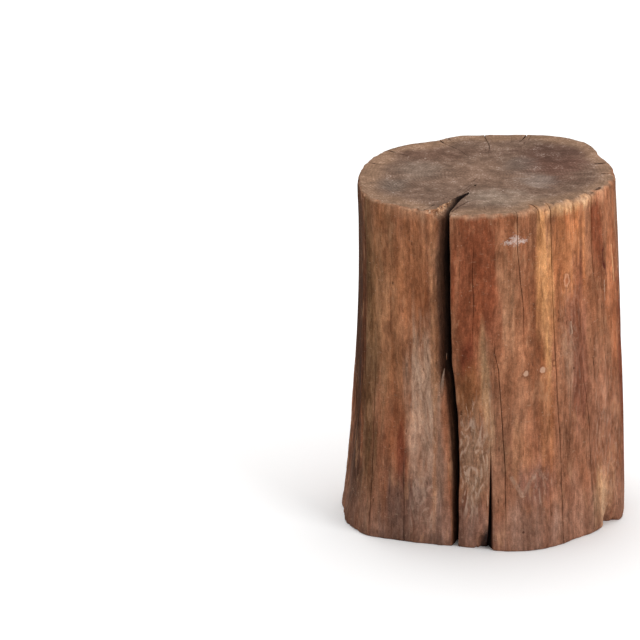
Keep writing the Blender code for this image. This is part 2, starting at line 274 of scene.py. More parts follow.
def srgb(red, green, blue):
    """A colour as seen, from 0 to 255, as the linear numbers that shaders use."""
    seen = np.array((red, green, blue)) / 255
    return np.where(seen <= 0.04045, seen / 12.92, ((seen + 0.055) / 1.055) ** 2.4)


def smooth(low, high, value):
    """0 below low, 1 above high, and an even bend between. It also runs downwards, from a low above high."""
    t = np.clip((value - low) / (high - low), 0, 1)
    return t * t * (3 - 2 * t)


def lattice_noise(turn, height, wide, tall, seed):
    """Smooth noise from -1 to 1 that closes round the trunk, in cells so many degrees wide and mm tall."""
    count = max(3, round(360 / wide))
    rows = int(2 * HEIGHT / tall) + 6
    table = np.random.default_rng(seed).uniform(-1, 1, (count, rows))
    u = turn / 360 * count
    v = np.clip(height / tall + 2, 0, rows - 2)
    i, j = np.floor(u).astype(int), np.floor(v).astype(int)
    s, t = smooth(0, 1, u - i), smooth(0, 1, v - j)
    here, there = i % count, (i + 1) % count
    low = table[here, j] * (1 - s) + table[there, j] * s
    high = table[here, j + 1] * (1 - s) + table[there, j + 1] * s
    return low * (1 - t) + high * t


def layered(turn, height, layers):
    """Noise layers added together."""
    return sum(amount * lattice_noise(turn, height, wide, tall, seed) for amount, wide, tall, seed in layers)


def blend(colour, laid, weight):
    """One colour laid over another."""
    return colour * (1 - weight) + laid * weight


def around(turn, column):
    """One column of the outline at these directions, by a smooth closed curve through its points."""
    at, value = OUTLINE[:, 0], OUTLINE[:, column]
    reach = (np.roll(at, -1) - np.roll(at, 1)) % 360
    slope = (np.roll(value, -1) - np.roll(value, 1)) / reach
    turned = turn % 360
    k = np.searchsorted(at, turned, side="right") - 1
    after = (k + 1) % len(at)
    span = (at[after] - at[k]) % 360
    t = (turned - at[k]) / span
    ends = value[k] + (value[after] - value[k]) * t * t * (3 - 2 * t)
    return ends + slope[k] * span * t * (1 - t) ** 2 + slope[after] * span * t * t * (t - 1)


def radius(turn, height):
    """Distance from the pith to the plain surface, by the parabola through foot, waist and top."""
    z = np.clip(height, 0, HEIGHT)
    foot = (z - WAIST) * (z - HEIGHT) / (WAIST * HEIGHT)
    waist = z * (HEIGHT - z) / (WAIST * (HEIGHT - WAIST))
    top = z * (z - WAIST) / (HEIGHT * (HEIGHT - WAIST))
    return foot * around(turn, 1) + waist * around(turn, 2) + top * around(turn, 3)


def relief(turn, height):
    """How far the bare wood stands out from the plain surface."""
    lean = turn + GRAIN_LEAN * height + layered(turn, height, GRAIN_WAVER)
    return layered(lean, height, RELIEF) - RELIEF_SUNK


def split_wall(height, left_side):
    """One wall of the split at these heights, from outside its lip.

    Returns its columns' directions, their distances in from the surface, and how far past the lip they hide.
    """
    left, right = (
        np.interp(height, *lip.T) + layered(at + 0 * height, height, (layer,))
        for lip, (at, layer) in zip((LEFT_LIP, RIGHT_LIP), LIP_WANDER)
    )
    end = np.interp(height, *SPLIT_END.T)
    surface = radius((left + right) / 2, height)
    meet = (left + right) / 2 + SPLIT_END_TURN
    mouth = right - left
    lip, inward = (left, 1) if left_side else (right, -1)
    bevel, lit = (np.interp(height, BEVEL[:, 0], BEVEL[:, k]) for k in (1, 2))
    rounded = LEFT_ROUNDING if left_side else RIGHT_ROUNDING
    rounding = np.interp(height, *rounded.T)
    to_meet = (meet - lip) * inward / mouth
    slope = np.interp(HEIGHT - height, LIP_SLOPE[:, 0], LIP_SLOPE[:, 1]) * left_side
    turns, insets, hidden = [], [], []
    for share in LIP_COLUMNS:
        turns.append(lip - inward * np.degrees((share * rounding + slope) / surface))
        insets.append(rounding * (1 - np.sqrt(1 - (1 - share) ** 2)) + 0 * height)
        hidden.append(0 * height)
    for inset in WALL_COLUMNS:
        deepest = surface - end
        inner = deepest - rounding if inset == WALL_COLUMNS[-1] else inset + 0 * height
        if left_side:
            past_bevel = np.clip((inner - BEVEL_DEPTH) / (STRAIGHT_WALL - BEVEL_DEPTH), 0, 1)
            given = bevel * np.clip(inner / BEVEL_DEPTH, 0, 1) ** BEVEL_CURVE
            given = given + (LEFT_SHARE - bevel) * past_bevel
        else:
            given = np.interp(inner, RIGHT_WALL[:, 0], RIGHT_WALL[:, 1])
        past = np.clip((inner - STRAIGHT_WALL) / np.maximum(deepest - rounding - STRAIGHT_WALL, 1), 0, 1)
        given = given * (1 - past) + to_meet * past
        lumps = layered(inner * LUMP_STRETCH, height, LIP_LUMPS) * np.clip(slope / LUMPS_FULL, 0, 1)
        narrows = 1 - LIP_SLOPE_NARROWS * np.clip(inner / STRAIGHT_WALL, 0, 1)
        cut_back = (slope + lumps) * narrows * (1 - past)
        turns.append(lip + inward * (mouth * given - np.degrees(cut_back / (surface - inner))))
        insets.append(rounding + inner)
        hidden.append(inner + JUST_INSIDE + SHADE_START - lit * left_side)
    return np.stack(turns, 1), np.stack(insets, 1), np.stack(hidden, 1)


def crack_middle(crack, height):
    """A crack's direction at these heights, with the small wander of a split along the grain."""
    heights = [point[1] for point in crack.route]
    turns = [point[0] for point in crack.route]
    seed = int(crack.route[0][0] * 10)
    wander = layered(turns[0] + 0 * height, height, ((*CRACK_WANDER, seed),))
    return np.interp(height, heights, turns) + wander


def crack_strength(crack, height):
    """1 along a crack and 0 past its ends; it fades there unless it runs out at the foot or the top."""
    low, high = crack.route[0][1], crack.route[-1][1]
    start = 1 if low <= 0 else smooth(low - CRACK_FADE, low + CRACK_FADE, height)
    stop = 1 if high >= HEIGHT else smooth(high + CRACK_FADE, high - CRACK_FADE, height)
    return start * stop * np.ones_like(height)


def lay_columns(height):
    """Every column's direction at these heights, in order round the trunk, with what belongs to each one.

    Returns directions, how deep a crack cuts, the crack's reach on the top, how far in from the surface a
    column lies on the split's walls, and how far past the lip it hides: above 0 on the left wall, and below 0
    on the right.
    """
    left, right = split_wall(height, True), split_wall(height, False)
    walls, wall_in = (np.concatenate((left[k], right[k][:, -2::-1]), 1) for k in range(2))
    hidden = np.concatenate((left[2], -right[2][:, -2::-1]), 1)
    groups = [(np.mean(walls[:, 0]), walls, 0 * walls, 0 * walls, wall_in, hidden)]
    least_share, least = CRACK_THINNEST
    shoulder, near, sinks = SHOULDER
    for crack in CHECKS + HAIRLINES:
        offsets = np.array(CHECK_COLUMNS if crack in CHECKS else HAIR_COLUMNS)
        middle = crack_middle(crack, height)
        strength = crack_strength(crack, height)
        taper = 1 - WEDGE_NARROWS * height / WEDGE_TOP if crack.name == "foot_wedge" else np.ones_like(height)
        half = np.maximum(crack.width / 2 * np.maximum(strength, least_share) * taper, least)
        turns = middle[:, None] + np.degrees(half / radius(middle, height))[:, None] * offsets
        cut = np.clip(1 - np.abs(offsets), 0, 1) ** CRACK_CURVE * crack.depth * strength[:, None]
        cut = cut * np.clip(taper, 0, 1)[:, None]
        cut = cut + sinks * (np.abs(np.abs(offsets) - shoulder) < near) * strength[:, None]
        groups.append((np.mean(turns[:, 0]), turns, cut, crack.reach + 0 * turns, 0 * turns, 0 * turns))
    groups.sort(key=lambda group: group[0])
    starts = [group[1][:, :1] for group in groups[1:]] + [groups[0][1][:, :1] + 360]
    gaps = [np.maximum(start - group[1][:, -1:], NARROWEST_GAP) for group, start in zip(groups, starts)]
    counts = [max(1, int(np.mean(gap) / np.degrees(COLUMN_GAP / TYPICAL_RADIUS))) for gap in gaps]
    # The rings on the top and the foot halve the columns, so their number is made up to a whole multiple
    fixed = sum(group[1].shape[1] - 1 for group in groups)
    counts[int(np.argmax(counts))] += -(fixed + sum(counts)) % 2 ** len(TOP_HALVED)
    laid = []
    for here, gap, count in zip(groups, gaps, counts):
        laid.append(here[1:])
        turns = here[1][:, -1:] + gap * np.arange(1, count) / count
        laid.append((turns, 0 * turns, 0 * turns, 0 * turns, 0 * turns))
    return [np.concatenate([group[k] for group in laid], 1) for k in range(5)]


def dent_depth(turn, height):
    """How deep the listed dents and chips cut, with broken edges."""
    depth = np.zeros_like(turn)
    for dent in DENTS:
        away = (turn - dent.turn + 180) % 360 - 180
        ragged = layered(turn, height, ((*DENT_RAGGED, int(dent.turn)),))
        reach = np.hypot(away / dent.half_turn, (height - dent.height) / dent.half_height) + ragged
        depth = depth + dent.depth * smooth(*DENT_EDGE, reach)
    return depth


def rim_wear(turn):
    """How rounded the rim is: most at the right front, little at the rear, and uneven all round."""
    mean, more, towards = RIM_WEAR
    slope_turn, slope_half, slope_more = RIM_SLOPE
    worn = mean + more * np.cos(np.radians(turn - towards))
    worn = worn + slope_more * np.exp(-((turn - slope_turn) / slope_half) ** 2)
    return worn * (1 + layered(turn, 0 * turn, RIM_UNEVEN))


def bend_rays(turn, distance):
    """Directions after the rays' bends near the cracks, which lean to one side on their way to the pith."""
    bent = turn
    for middle, bend, start, full, width in BENDS:
        away = (turn - middle + 180) % 360 - 180
        bent = bent + bend * smooth(start, full, distance) * np.exp(-(away / width) ** 2)
    return bent


def build_skin():
    """The skin's vertices as rows of columns, and what each one is for the colours."""
    inner = HEIGHT - RIM_STARTS * RIM_SIZE
    side_rows = int((inner - FIRST_SIDE_ROW) / ROW_GAP)
    side = np.linspace(FIRST_SIDE_ROW, inner, side_rows, endpoint=False)
    heights = np.concatenate(([row[1] for row in FOOT_ROWS], side, np.full(len(RIM_STEPS), HEIGHT)))
    foot_in = np.concatenate(([row[0] for row in FOOT_ROWS], 0 * side, np.zeros(len(RIM_STEPS))))
    steps = np.concatenate((np.zeros(len(heights) - len(RIM_STEPS)), RIM_STEPS))
    # The rim's rows follow the columns as they lie at the height where its rounding starts
    rim_rows = heights >= HEIGHT
    reading = np.where(rim_rows, inner + (HEIGHT - inner) * steps, heights)
    turn, cut, reach, wall_in, hidden = lay_columns(reading)
    high = np.repeat(reading[:, None], turn.shape[1], 1)
    rim = rim_rows[:, None]
    angle = np.pi / 2 * np.where(rim, steps[:, None], 0)
    size = RIM_SIZE * np.clip(rim_wear(turn[-1])[None, :], *RIM_LIMITS)
    on_wall = smooth(0, 3, np.abs(hidden))
    rounding = size * (1 - np.cos(angle)) * (1 - on_wall)
    drop = size * (1 - np.sin(angle))
    rough_wall = smooth(*WALL_ROUGH_FADE, wall_in) * layered(turn * WALL_STRETCH, high, WALL_ROUGH)
    stand = relief(turn, high) * smooth(*RELIEF_FADE, wall_in) + rough_wall
    dents = dent_depth(turn, high)
    out = radius(turn, high) - wall_in - cut - dents - foot_in[:, None] - rounding + stand
    z = np.where(rim, (HEIGHT - drop) * (1 - on_wall) + high * on_wall, high)
    z[0] = 0
    # The fourth value is the crack's depth with a share of each dent's depth, which sets the painted shade in
    # cracks and dents
    return turn, out, z, cut + DENT_SHADE * dents, reach, wall_in, hidden, high


def fold_in(turn, out, rings, halved, height_of):
    """Rings from the outermost to the pith: whole ones, and then each with half the columns of the last."""
    made = []
    columns = np.arange(len(turn))
    for share in rings:
        made.append((columns, out * share, height_of(columns, out * share)))
    for share in halved:
        columns = columns[::2]
        made.append((columns, out[columns] * share, height_of(columns, out[columns] * share)))
    return made


def ring_faces(below, above):
    """Faces between two closed rings of vertex numbers. The upper has as many columns, or half as many."""
    count = len(above)
    after = np.roll(np.arange(count), -1)
    if len(below) == count:
        return [(below[i], below[after[i]], above[after[i]], above[i]) for i in range(count)]
    faces = []
    for i in range(count):
        first, middle, last = below[2 * i], below[2 * i + 1], below[(2 * i + 2) % len(below)]
        faces.append((first, middle, above[i]))
        faces.append((middle, last, above[after[i]]))
        faces.append((middle, above[after[i]], above[i]))
    return faces


def build_splinters():
    """The slivers' rings of points, as directions, distances and heights."""
    rings = []
    for _, thickness, sections in SPLINTERS:
        table = np.array(sections)
        heights = np.linspace(table[0, 0], table[-1, 0], SPLINTER_STEPS)
        points = (np.interp(heights, table[:, 0], table[:, k]) for k in (1, 2, 3))
        direction, inward, width = (point[:, None] for point in points)
        angle, level = np.meshgrid(np.linspace(0, 2 * np.pi, SPLINTER_SIDES, endpoint=False), heights)
        middle = radius(direction, heights[:, None]) - inward
        rough = 1 + layered(np.degrees(angle), level, SPLINTER_ROUGH)
        across = width / 2 * np.cos(angle) * rough
        outward = np.minimum(thickness, width) / 2 * np.sin(angle) * rough
        rings.append((direction + np.degrees(across / middle), middle + outward, level))
    return rings


# A patch of colour on the side. Lean is how far it turns, in degrees, for each 100 mm that it rises
Patch = namedtuple("Patch", "name colour turn height half_turn half_height strength lean", defaults=(0,))
BASE = srgb(137, 89, 64)
PATCHES = [Patch(*row) for row in (
    # The two flank patches below are painted shade: the left flank darkened where less light falls on it
    ("flank_shade", (54, 32, 20), 192, 320, 20, 290, 0.9),
    ("flank_low_shade", (74, 52, 40), 199, 40, 12, 110, 0.88),
    ("flank_red", (96, 58, 40), 205, 340, 3.6, 160, 0.6),
    ("flank_olive", (104, 76, 52), 212, 250, 6, 300, 0.8),
    ("left_tan", (140, 98, 68), 221, 330, 8, 170, 0.6),
    ("left_orange", (146, 94, 64), 227, 250, 5, 170, 0.6),
    ("left_orange_low", (142, 86, 58), 226, 140, 4.5, 60, 0.6),
    ("left_dark_red", (104, 50, 34), 229, 112, 3.2, 44, 0.75),
    ("left_mauve", (84, 60, 50), 229, 36, 10, 66, 0.85, 0.5),
    ("grey_left", (175, 139, 115), 239.6, 185, 8.4, 130, 0.88),
    ("grey_left_low", (118, 90, 76), 241, 48, 8, 56, 0.75),
    ("lip_low", (142, 108, 88), 247.5, 105, 4, 60, 0.8, -1),
    ("lip_foot", (116, 84, 69), 249, 25, 5, 45, 0.8),
    ("left_upper", (147, 93, 61), 236, 385, 9, 85, 0.5),
    # The next patch is a painted highlight: a pale strip along the rounded left lip of the split
    ("left_lip_highlight", (160, 112, 80), 245.2, 270, 1.7, 240, 0.7),
    ("red_main", (121, 65, 43), 263.5, 355, 11.5, 125, 0.9),
    ("red_dark_a", (100, 50, 36), 271, 322, 3.4, 38, 0.6),
    ("red_dark_b", (98, 50, 36), 260.3, 262, 3.4, 24, 0.7),
    ("brown_middle", (122, 78, 50), 262, 212, 8.5, 46, 0.85),
    ("flames", (136, 102, 78), 264.5, 115, 8.5, 80, 0.8),
    ("peel", (158, 120, 88), 269.8, 215, 2.8, 85, 0.75, -3),
    ("foot_brown", (116, 81, 67), 262, 28, 10, 38, 0.75),
    ("pale_middle", (158, 114, 86), 280, 320, 5.4, 90, 0.75, -3),
    ("red_edge", (124, 70, 48), 272.6, 330, 4.3, 78, 0.8, -3.9),
    ("red_middle", (140, 88, 62), 287, 335, 3.6, 120, 0.5),
    ("brown_centre", (140, 94, 68), 286, 220, 9, 62, 0.55),
    ("middle_shade", (118, 76, 54), 280, 185, 4.4, 100, 0.6),
    ("orange_low", (150, 102, 72), 285.5, 128, 5, 40, 0.6),
    ("purple_scuff", (128, 88, 74), 293, 86, 9, 32, 0.65),
    ("foot_mauve", (150, 109, 88), 290, 26, 16, 40, 0.8),
    ("gold_band", (196, 142, 96), 298.6, 350, 5.2, 120, 0.9, -1.4),
    ("gold_low", (166, 108, 72), 299.6, 190, 4.6, 80, 0.7),
    ("orange_right", (175, 111, 73), 314, 385, 11, 88, 0.9),
    ("purple_right", (112, 68, 53), 318, 250, 7.0, 120, 0.75),
    ("mottle_right", (154, 114, 90), 311.5, 245, 4, 78, 0.6),
    ("red_right", (128, 70, 48), 333, 392, 5.5, 64, 0.8),
    ("brown_right", (136, 91, 69), 333, 178, 12, 92, 0.7),
    ("orange_edge", (160, 99, 68), 345, 330, 6.5, 110, 0.75),
    ("yellow_foot", (180, 136, 98), 332, 42, 9, 46, 0.75),
    ("foot_mauve_right", (154, 107, 83), 312, 52, 7, 52, 0.6),
    ("purple_mottle", (128, 78, 58), 313.5, 296, 4.8, 36, 0.65),
    ("rim_gold", (196, 142, 98), 311, 441, 12, 9, 0.5),
    ("rim_pink", (190, 132, 102), 337, 442, 6, 9, 0.7),
    # The next patch is a painted highlight: a pale band under the rim at the front left, where its edge is
    # lit
    ("rim_left_highlight", (176, 128, 98), 232, 443, 16, 7, 0.6),
    # The next patch is a red tint that also paints the shade falling off at the right edge
    ("edge_red_shade", (120, 62, 44), 353, 235, 6, 190, 0.65),
)]
# Laid last, over the foot's tint, so that they stay dark. The first two are painted shadow inside the chip at
# the foot
LATE_PATCHES = [Patch(*row) for row in (
    ("chip_shadow", (52, 40, 35), 269.2, 2, 2.5, 28, 0.95, 3),
    ("chip_deep_shadow", (34, 30, 29), 270.8, 4, 1.3, 26, 0.9, 2),
    ("foot_edge", (92, 66, 54), 236, 4, 28, 12, 0.5),
)]
LATE_SEED = 90
SIDE_DRIFT = ((0.16, 6, 170, 51),)
SIDE_DRIFT_COLOUR = np.array((1, 0.9, 0.8))
PATCH_RAGGED = ((0.30, 2.2, 60, 100), (0.22, 0.9, 34, 200))
PATCH_EDGE = (1.25, 0.45)
# The UV map's margin, and where the top, the foot and the slivers lie across it
UV_EDGE = 0.01
UV_DISCS = ((TOP, 0.17), (FOOT, 0.5), (SLIVER, 0.8))
# The side that the photo doesn't show takes the same colours, strewn by a seeded draw
REAR_COLOURS = (
    (146, 90, 61), (122, 66, 44), (162, 104, 66), (108, 82, 58), (136, 112, 92), (170, 124, 84), (98, 60, 44),
)
REAR_PATCHES = 34
REAR_SEED = 7
FOOT_COLOUR = srgb(132, 96, 78)
# How far up the foot's tint and the cooler tint reach, and the ragged edge of the first
FOOT_TINT_ROWS = (85, 10)
FOOT_TINT_SHARE = 0.5
FOOT_TINT_RAGGED = ((18, 7, 60, 52),)
LOW_TINT_ROWS = (300, 80)
LOW_TINT = np.array((-0.01, 0.01, 0.08))
# The worn slope of the rim is bleached, in teeth along the grain, some degrees before its middle
RIM_GOLD = srgb(222, 174, 130)
RIM_GOLD_ROWS = (438, 443)
RIM_GOLD_TURN = 5
RIM_GOLD_SHARE = 0.75
RIM_TEETH = ((5, 1.1, 50, 55), (3, 0.6, 50, 56))
TOP_BASE = srgb(118, 97, 84)
# A patch of colour on the top: its place from the pith in mm, its half sizes, and its strength
TopPatch = namedtuple("TopPatch", "name colour x y half_x half_y strength")
TOP_PATCHES = [TopPatch(*row) for row in (
    ("heart", (105, 78, 68), 88, 38, 56, 92, 0.9),
    ("heart_rear", (93, 72, 63), 76, 96, 62, 36, 0.85),
    ("heart_left", (106, 82, 70), -62, 84, 66, 38, 0.7),
    ("centre_tan", (133, 108, 92), -5, 10, 55, 70, 0.5),
    ("grey_left", (140, 124, 112), -82, 20, 34, 40, 0.6),
    ("grey_dark", (108, 98, 90), -118, -45, 28, 30, 0.6),
    ("grey_middle", (112, 100, 92), 42, 42, 24, 44, 0.6),
    ("pale_right", (150, 137, 128), 66, -20, 26, 38, 0.6),
    ("pale_front", (146, 131, 118), 6, -88, 44, 32, 0.65),
    ("front_grey", (142, 124, 109), 44, -108, 60, 32, 0.6),
)]
SAPWOOD = srgb(146, 119, 98)
SAPWOOD_WIDTH = 34
SAPWOOD_FULL = 0.4
SAPWOOD_SHARE = 0.75
SAPWOOD_RAGGED = ((7, 14, 50, 63),)
TOP_PATCH_RAGGED = ((0.25, 9, 26, 61), (0.2, 4, 11, 62))
TOP_PATCH_EDGE = (1.2, 0.35)
# Painted shade: the sawn faces are darkened all over, as if less light fell on the top
TOP_SHADE = np.array((0.83, 0.78, 0.75))
RIM_WEAR_AND_HIGHLIGHT = srgb(172, 134, 108)
# The rim's edge is pale on the side that faces this way: partly wear, partly a painted highlight where the
# rounded edge meets the light
WORN_FACING = 270
WORN_FACES = (0, 0.5)
WORN_SHARE = 0.75
WORN_STEPS = (0.45, 0.4)
WORN_LEAST = 0.65
WORN_RAGGED = ((0.35, 3, 40, 82),)
# Where the sawn face gives way to the side, as shares of the rim's rounding
SAWN_STEPS = (0.35, 0.95)
SAWN_RAGGED = ((0.25, 2.5, 30, 81),)
# How deep a crack is where its painted shade starts and is full, and how far in the walls take their colour
CRACK_DARK = (0.5, 7)
WALL_EDGE = (4, 9)
WALL_COLOUR = srgb(130, 88, 66)
# The lip's rounding into the split is painted darker with this colour, as painted shade
LIP_SHADE_COLOUR = srgb(126, 84, 61)
SLOPE_PALE = srgb(176, 132, 100)
SLOPE_DARK = srgb(112, 74, 52)
SLOPE_LUMPS = ((1, 9, 6, 83),)
SLOPE_LUMP_EDGE = (-0.5, 0.6)
SLOPE_STRETCH = 7
# A sliver runs from its base colour to a paler tip, a painted highlight on its torn end
SPLINTER_BASE = srgb(122, 80, 57)
SPLINTER_TIP_HIGHLIGHT = srgb(138, 118, 104)
SPLINTER_BLEND = (SLIVER + 0.2, SLIVER + 1)
# Weathered wood: (name, direction, height, half sizes, strength)
WEATHERED = (
    ("grey_left", 239.5, 185, 7, 120, 0.7),
    ("flames", 264.5, 118, 8, 80, 1.0),
    ("peel", 270.5, 205, 3, 70, 0.5),
    ("mottle_right", 314.5, 262, 7.5, 100, 0.4),
    ("purple_scuff", 294, 88, 8, 26, 0.7),
    ("foot_left", 240, 60, 8, 55, 0.7),
    ("right_low", 335, 120, 12, 100, 0.5),
    ("rear_a", 40, 150, 10, 120, 0.55),
    ("rear_b", 95, 330, 9, 90, 0.5),
    ("rear_c", 150, 180, 12, 120, 0.55),
)
WEATHERED_SEED = 40


def blob(turn, height, patch, seed):
    """The weight of a soft-edged patch with a ragged outline, stretched along the grain."""
    away = (turn - patch.turn - patch.lean * (height - patch.height) / 100 + 180) % 360 - 180
    ragged = layered(turn, height, [(*layer[:3], layer[3] + seed) for layer in PATCH_RAGGED])
    reach = np.hypot(away / patch.half_turn, (height - patch.height) / patch.half_height) + ragged
    return patch.strength * smooth(*PATCH_EDGE, reach)


def rear_patches():
    draw = np.random.default_rng(REAR_SEED)
    made = []
    for k in range(REAR_PATCHES):
        colour = REAR_COLOURS[draw.integers(len(REAR_COLOURS))]
        turn, height = draw.uniform(-2, 190), draw.uniform(0, HEIGHT)
        size = (draw.uniform(3, 9), draw.uniform(50, 170))
        made.append(Patch(f"rear_{k}", colour, turn, height, *size, draw.uniform(0.4, 0.8)))
    return made


def lay_patches(colour, turn, height, patches, first_seed=0):
    for seed, patch in enumerate(patches, first_seed):
        colour = blend(colour, srgb(*patch.colour), blob(turn, height, patch, seed)[:, None])
    return colour


def side_colour(turn, height):
    """The peeled side: patches over a drifting brown, the bleached rim, the foot's tints and late patches."""
    colour = BASE * (1 + layered(turn, height, SIDE_DRIFT)[:, None] * SIDE_DRIFT_COLOUR)
    colour = lay_patches(colour, turn, height, rear_patches() + PATCHES)
    gold = smooth(*RIM_GOLD_ROWS, height + layered(turn, 0 * turn, RIM_TEETH))
    gold = gold * np.exp(-((turn - RIM_SLOPE[0] + RIM_GOLD_TURN) / RIM_SLOPE[1]) ** 2)
    colour = blend(colour, RIM_GOLD, RIM_GOLD_SHARE * gold[:, None])
    low = smooth(*FOOT_TINT_ROWS, height + layered(turn, height, FOOT_TINT_RAGGED))
    colour = blend(colour, FOOT_COLOUR, FOOT_TINT_SHARE * low[:, None])
    colour = lay_patches(colour, turn, height, LATE_PATCHES, LATE_SEED)
    return colour * (1 + LOW_TINT * smooth(*LOW_TINT_ROWS, height)[:, None])


def top_colour(turn, distance, edge):
    """The sawn face: grey-brown, with darker heartwood, a paler band of sapwood and listed mottling."""
    x, y = distance * np.cos(np.radians(turn)), distance * np.sin(np.radians(turn))
    colour = np.repeat(TOP_BASE[None, :], len(turn), 0)
    ragged = layered(turn, distance, TOP_PATCH_RAGGED)
    for patch in TOP_PATCHES:
        reach = np.hypot((x - patch.x) / patch.half_x, (y - patch.y) / patch.half_y) + ragged
        weight = patch.strength * smooth(*TOP_PATCH_EDGE, reach)[:, None]
        colour = blend(colour, srgb(*patch.colour), weight)
    inwards = edge - layered(turn, 0 * turn, SAPWOOD_RAGGED)
    sap = SAPWOOD_SHARE * smooth(SAPWOOD_WIDTH, SAPWOOD_WIDTH * SAPWOOD_FULL, inwards)[:, None]
    # The sawn face is darkened all over with painted shade
    return TOP_SHADE * blend(colour, SAPWOOD, sap)


def weathering(turn, height):
    grey = np.zeros_like(turn)
    for seed, (name, *shape) in enumerate(WEATHERED, WEATHERED_SEED):
        grey = np.maximum(grey, blob(turn, height, Patch(name, None, *shape), seed))
    return grey


class Shape:
    """Vertices as directions, distances and heights, with the kind of surface of each one, and faces."""

    def __init__(self):
        self.count, self.places, self.kinds, self.faces = 0, [], [], []

    def add(self, turns, outs, levels, kinds):
        """Adds vertices and gives back their numbers."""
        self.places.append(np.stack((turns, outs, levels)).reshape(3, -1))
        self.kinds.append(np.full(turns.size, kinds, float))
        numbers = np.arange(self.count, self.count + turns.size).reshape(turns.shape)
        self.count += turns.size
        return numbers


def add_end(shape, rings, before, turn, kind):
    """Closes the top or the foot with rings inwards from its last row, and a fan round the pith."""
    made = []
    for chosen, distance, level in rings:
        here = shape.add(turn[chosen], distance, level, kind)
        made += ring_faces(before, here)
        before = here
    middle = shape.add(np.zeros(1), np.zeros(1), np.array([rings[-1][2].mean()]), kind)[0]
    made += [(before[i], before[(i + 1) % len(before)], middle) for i in range(len(before))]
    shape.faces += made if kind == TOP else [face[::-1] for face in made]


def add_slivers(shape):
    along = np.repeat(np.linspace(0, 1, SPLINTER_STEPS), SPLINTER_SIDES)
    for turn, out, level in build_splinters():
        grid = shape.add(turn, out, level, SLIVER + along)
        for below, above in zip(grid, grid[1:]):
            shape.faces += [face[::-1] for face in ring_faces(below, above)]
        shape.faces += [tuple(grid[0]), tuple(grid[-1][::-1])]


def make_skin():
    turn, out, z, cut, reach, wall_in, hidden, high = build_skin()
    rows, columns = turn.shape
    edge_out, edge_reach, edge_cut = out[-1], reach[-1], cut[-1]
    meet = int(np.argmax(wall_in[-1]))

    def top_height(chosen, distance):
        before, after = TOP_CRACK_FADE
        fade = smooth(edge_reach[chosen] + before, edge_reach[chosen] + after, distance)
        sunk = TOP_CRACK_DEPTH * np.clip(edge_cut[chosen] / TOP_CRACK_FULL, 0, 1)
        sunk = sunk * np.where(edge_reach[chosen] > 0, fade, 0)
        near_meet = np.abs(chosen - meet) <= PITH_CRACK_COLUMNS
        sunk = sunk + PITH_CRACK[0] * near_meet * smooth(PITH_CRACK[1], 1, distance / edge_out[meet])
        return HEIGHT - sunk + layered(turn[-1][chosen], distance, TOP_UNEVEN) - TOP_SUNK

    def foot_height(chosen, distance):
        return 0 * distance

    shape = Shape()
    index = shape.add(turn, out, z, SIDE)
    for below, above in zip(index, index[1:]):
        shape.faces += ring_faces(below, above)
    add_end(shape, fold_in(turn[-1], edge_out, TOP_RINGS, TOP_HALVED, top_height), index[-1], turn[-1], TOP)
    add_end(shape, fold_in(turn[0], out[0], FOOT_RINGS, FOOT_HALVED, foot_height), index[0], turn[0], FOOT)
    add_slivers(shape)
    turns, outs, levels = np.concatenate(shape.places, 1)
    kinds = np.concatenate(shape.kinds)
    turns = bend_rays(turns, outs)
    x = np.clip((outs * np.cos(np.radians(turns)) + PITH[0]) * MM, LOW.x, HIGH.x)
    y = np.clip((outs * np.sin(np.radians(turns)) + PITH[1]) * MM, LOW.y, HIGH.y)
    place = np.stack((x, y, np.clip(levels * MM, LOW.z, HIGH.z)), 1)
    mesh = bpy.data.meshes.new("trunk_skin")
    mesh.from_pydata(place.tolist(), [], [[int(v) for v in face] for face in shape.faces])
    mesh.validate()
    skin = bpy.data.objects.new("trunk_skin", mesh)
    bpy.context.scene.collection.objects.link(skin)
    side_only = [values.ravel() for values in (cut, hidden, wall_in, high)]
    paint(mesh, (turns, outs, levels, kinds), side_only, columns)
    lay_out(mesh, place, kinds, rows, columns)
    mesh.shade_smooth()
    return skin


def lay_out(mesh, place, kinds, rows, columns):
    """The UV map for baking: the side unrolled along the foot of the map, and the sawn faces above it."""
    grid = place[:rows * columns].reshape(rows, columns, 3)
    across = np.linalg.norm(np.roll(grid, -1, 1) - grid, axis=2).mean(0)
    upward = np.linalg.norm(np.diff(grid, axis=0), axis=2).mean(1)
    across, upward = np.concatenate(([0], np.cumsum(across))), np.concatenate(([0], np.cumsum(upward)))
    scale = (1 - 2 * UV_EDGE) / across[-1]
    corner = np.zeros(len(mesh.loops), int)
    mesh.loops.foreach_get("vertex_index", corner)
    sizes = np.zeros(len(mesh.polygons), int)
    mesh.polygons.foreach_get("loop_total", sizes)
    face = np.repeat(np.arange(len(sizes)), sizes)
    firsts = np.concatenate(([0], np.cumsum(sizes)[:-1]))
    kind = np.maximum.reduceat(kinds[corner], firsts)[face]
    on_side = kind == SIDE
    column, row = corner % columns, np.minimum(corner // columns, rows - 1)
    at_seam = on_side & np.isin(column, (0, columns - 1))
    last = np.maximum.reduceat(np.where(on_side, column, 0), firsts)[face]
    column = np.where(at_seam & (column == 0) & (last == columns - 1), columns, column)
    u, v = UV_EDGE + across[column] * scale, UV_EDGE + upward[row] * scale
    spots = place[corner] * scale
    above = UV_EDGE * 2 + upward[-1] * scale + (HIGH.y - LOW.y) / 2 * scale
    for sort, middle in UV_DISCS:
        here = (kind == sort) if sort < SLIVER else (kind >= sort)
        turned = spots[:, 1] if sort < SLIVER else spots[:, 2]
        u, v = np.where(here, middle + spots[:, 0], u), np.where(here, above + turned, v)
    layer = mesh.uv_layers.new(name="OFBake")
    layer.data.foreach_set("uv", np.stack((u, v), 1).ravel())


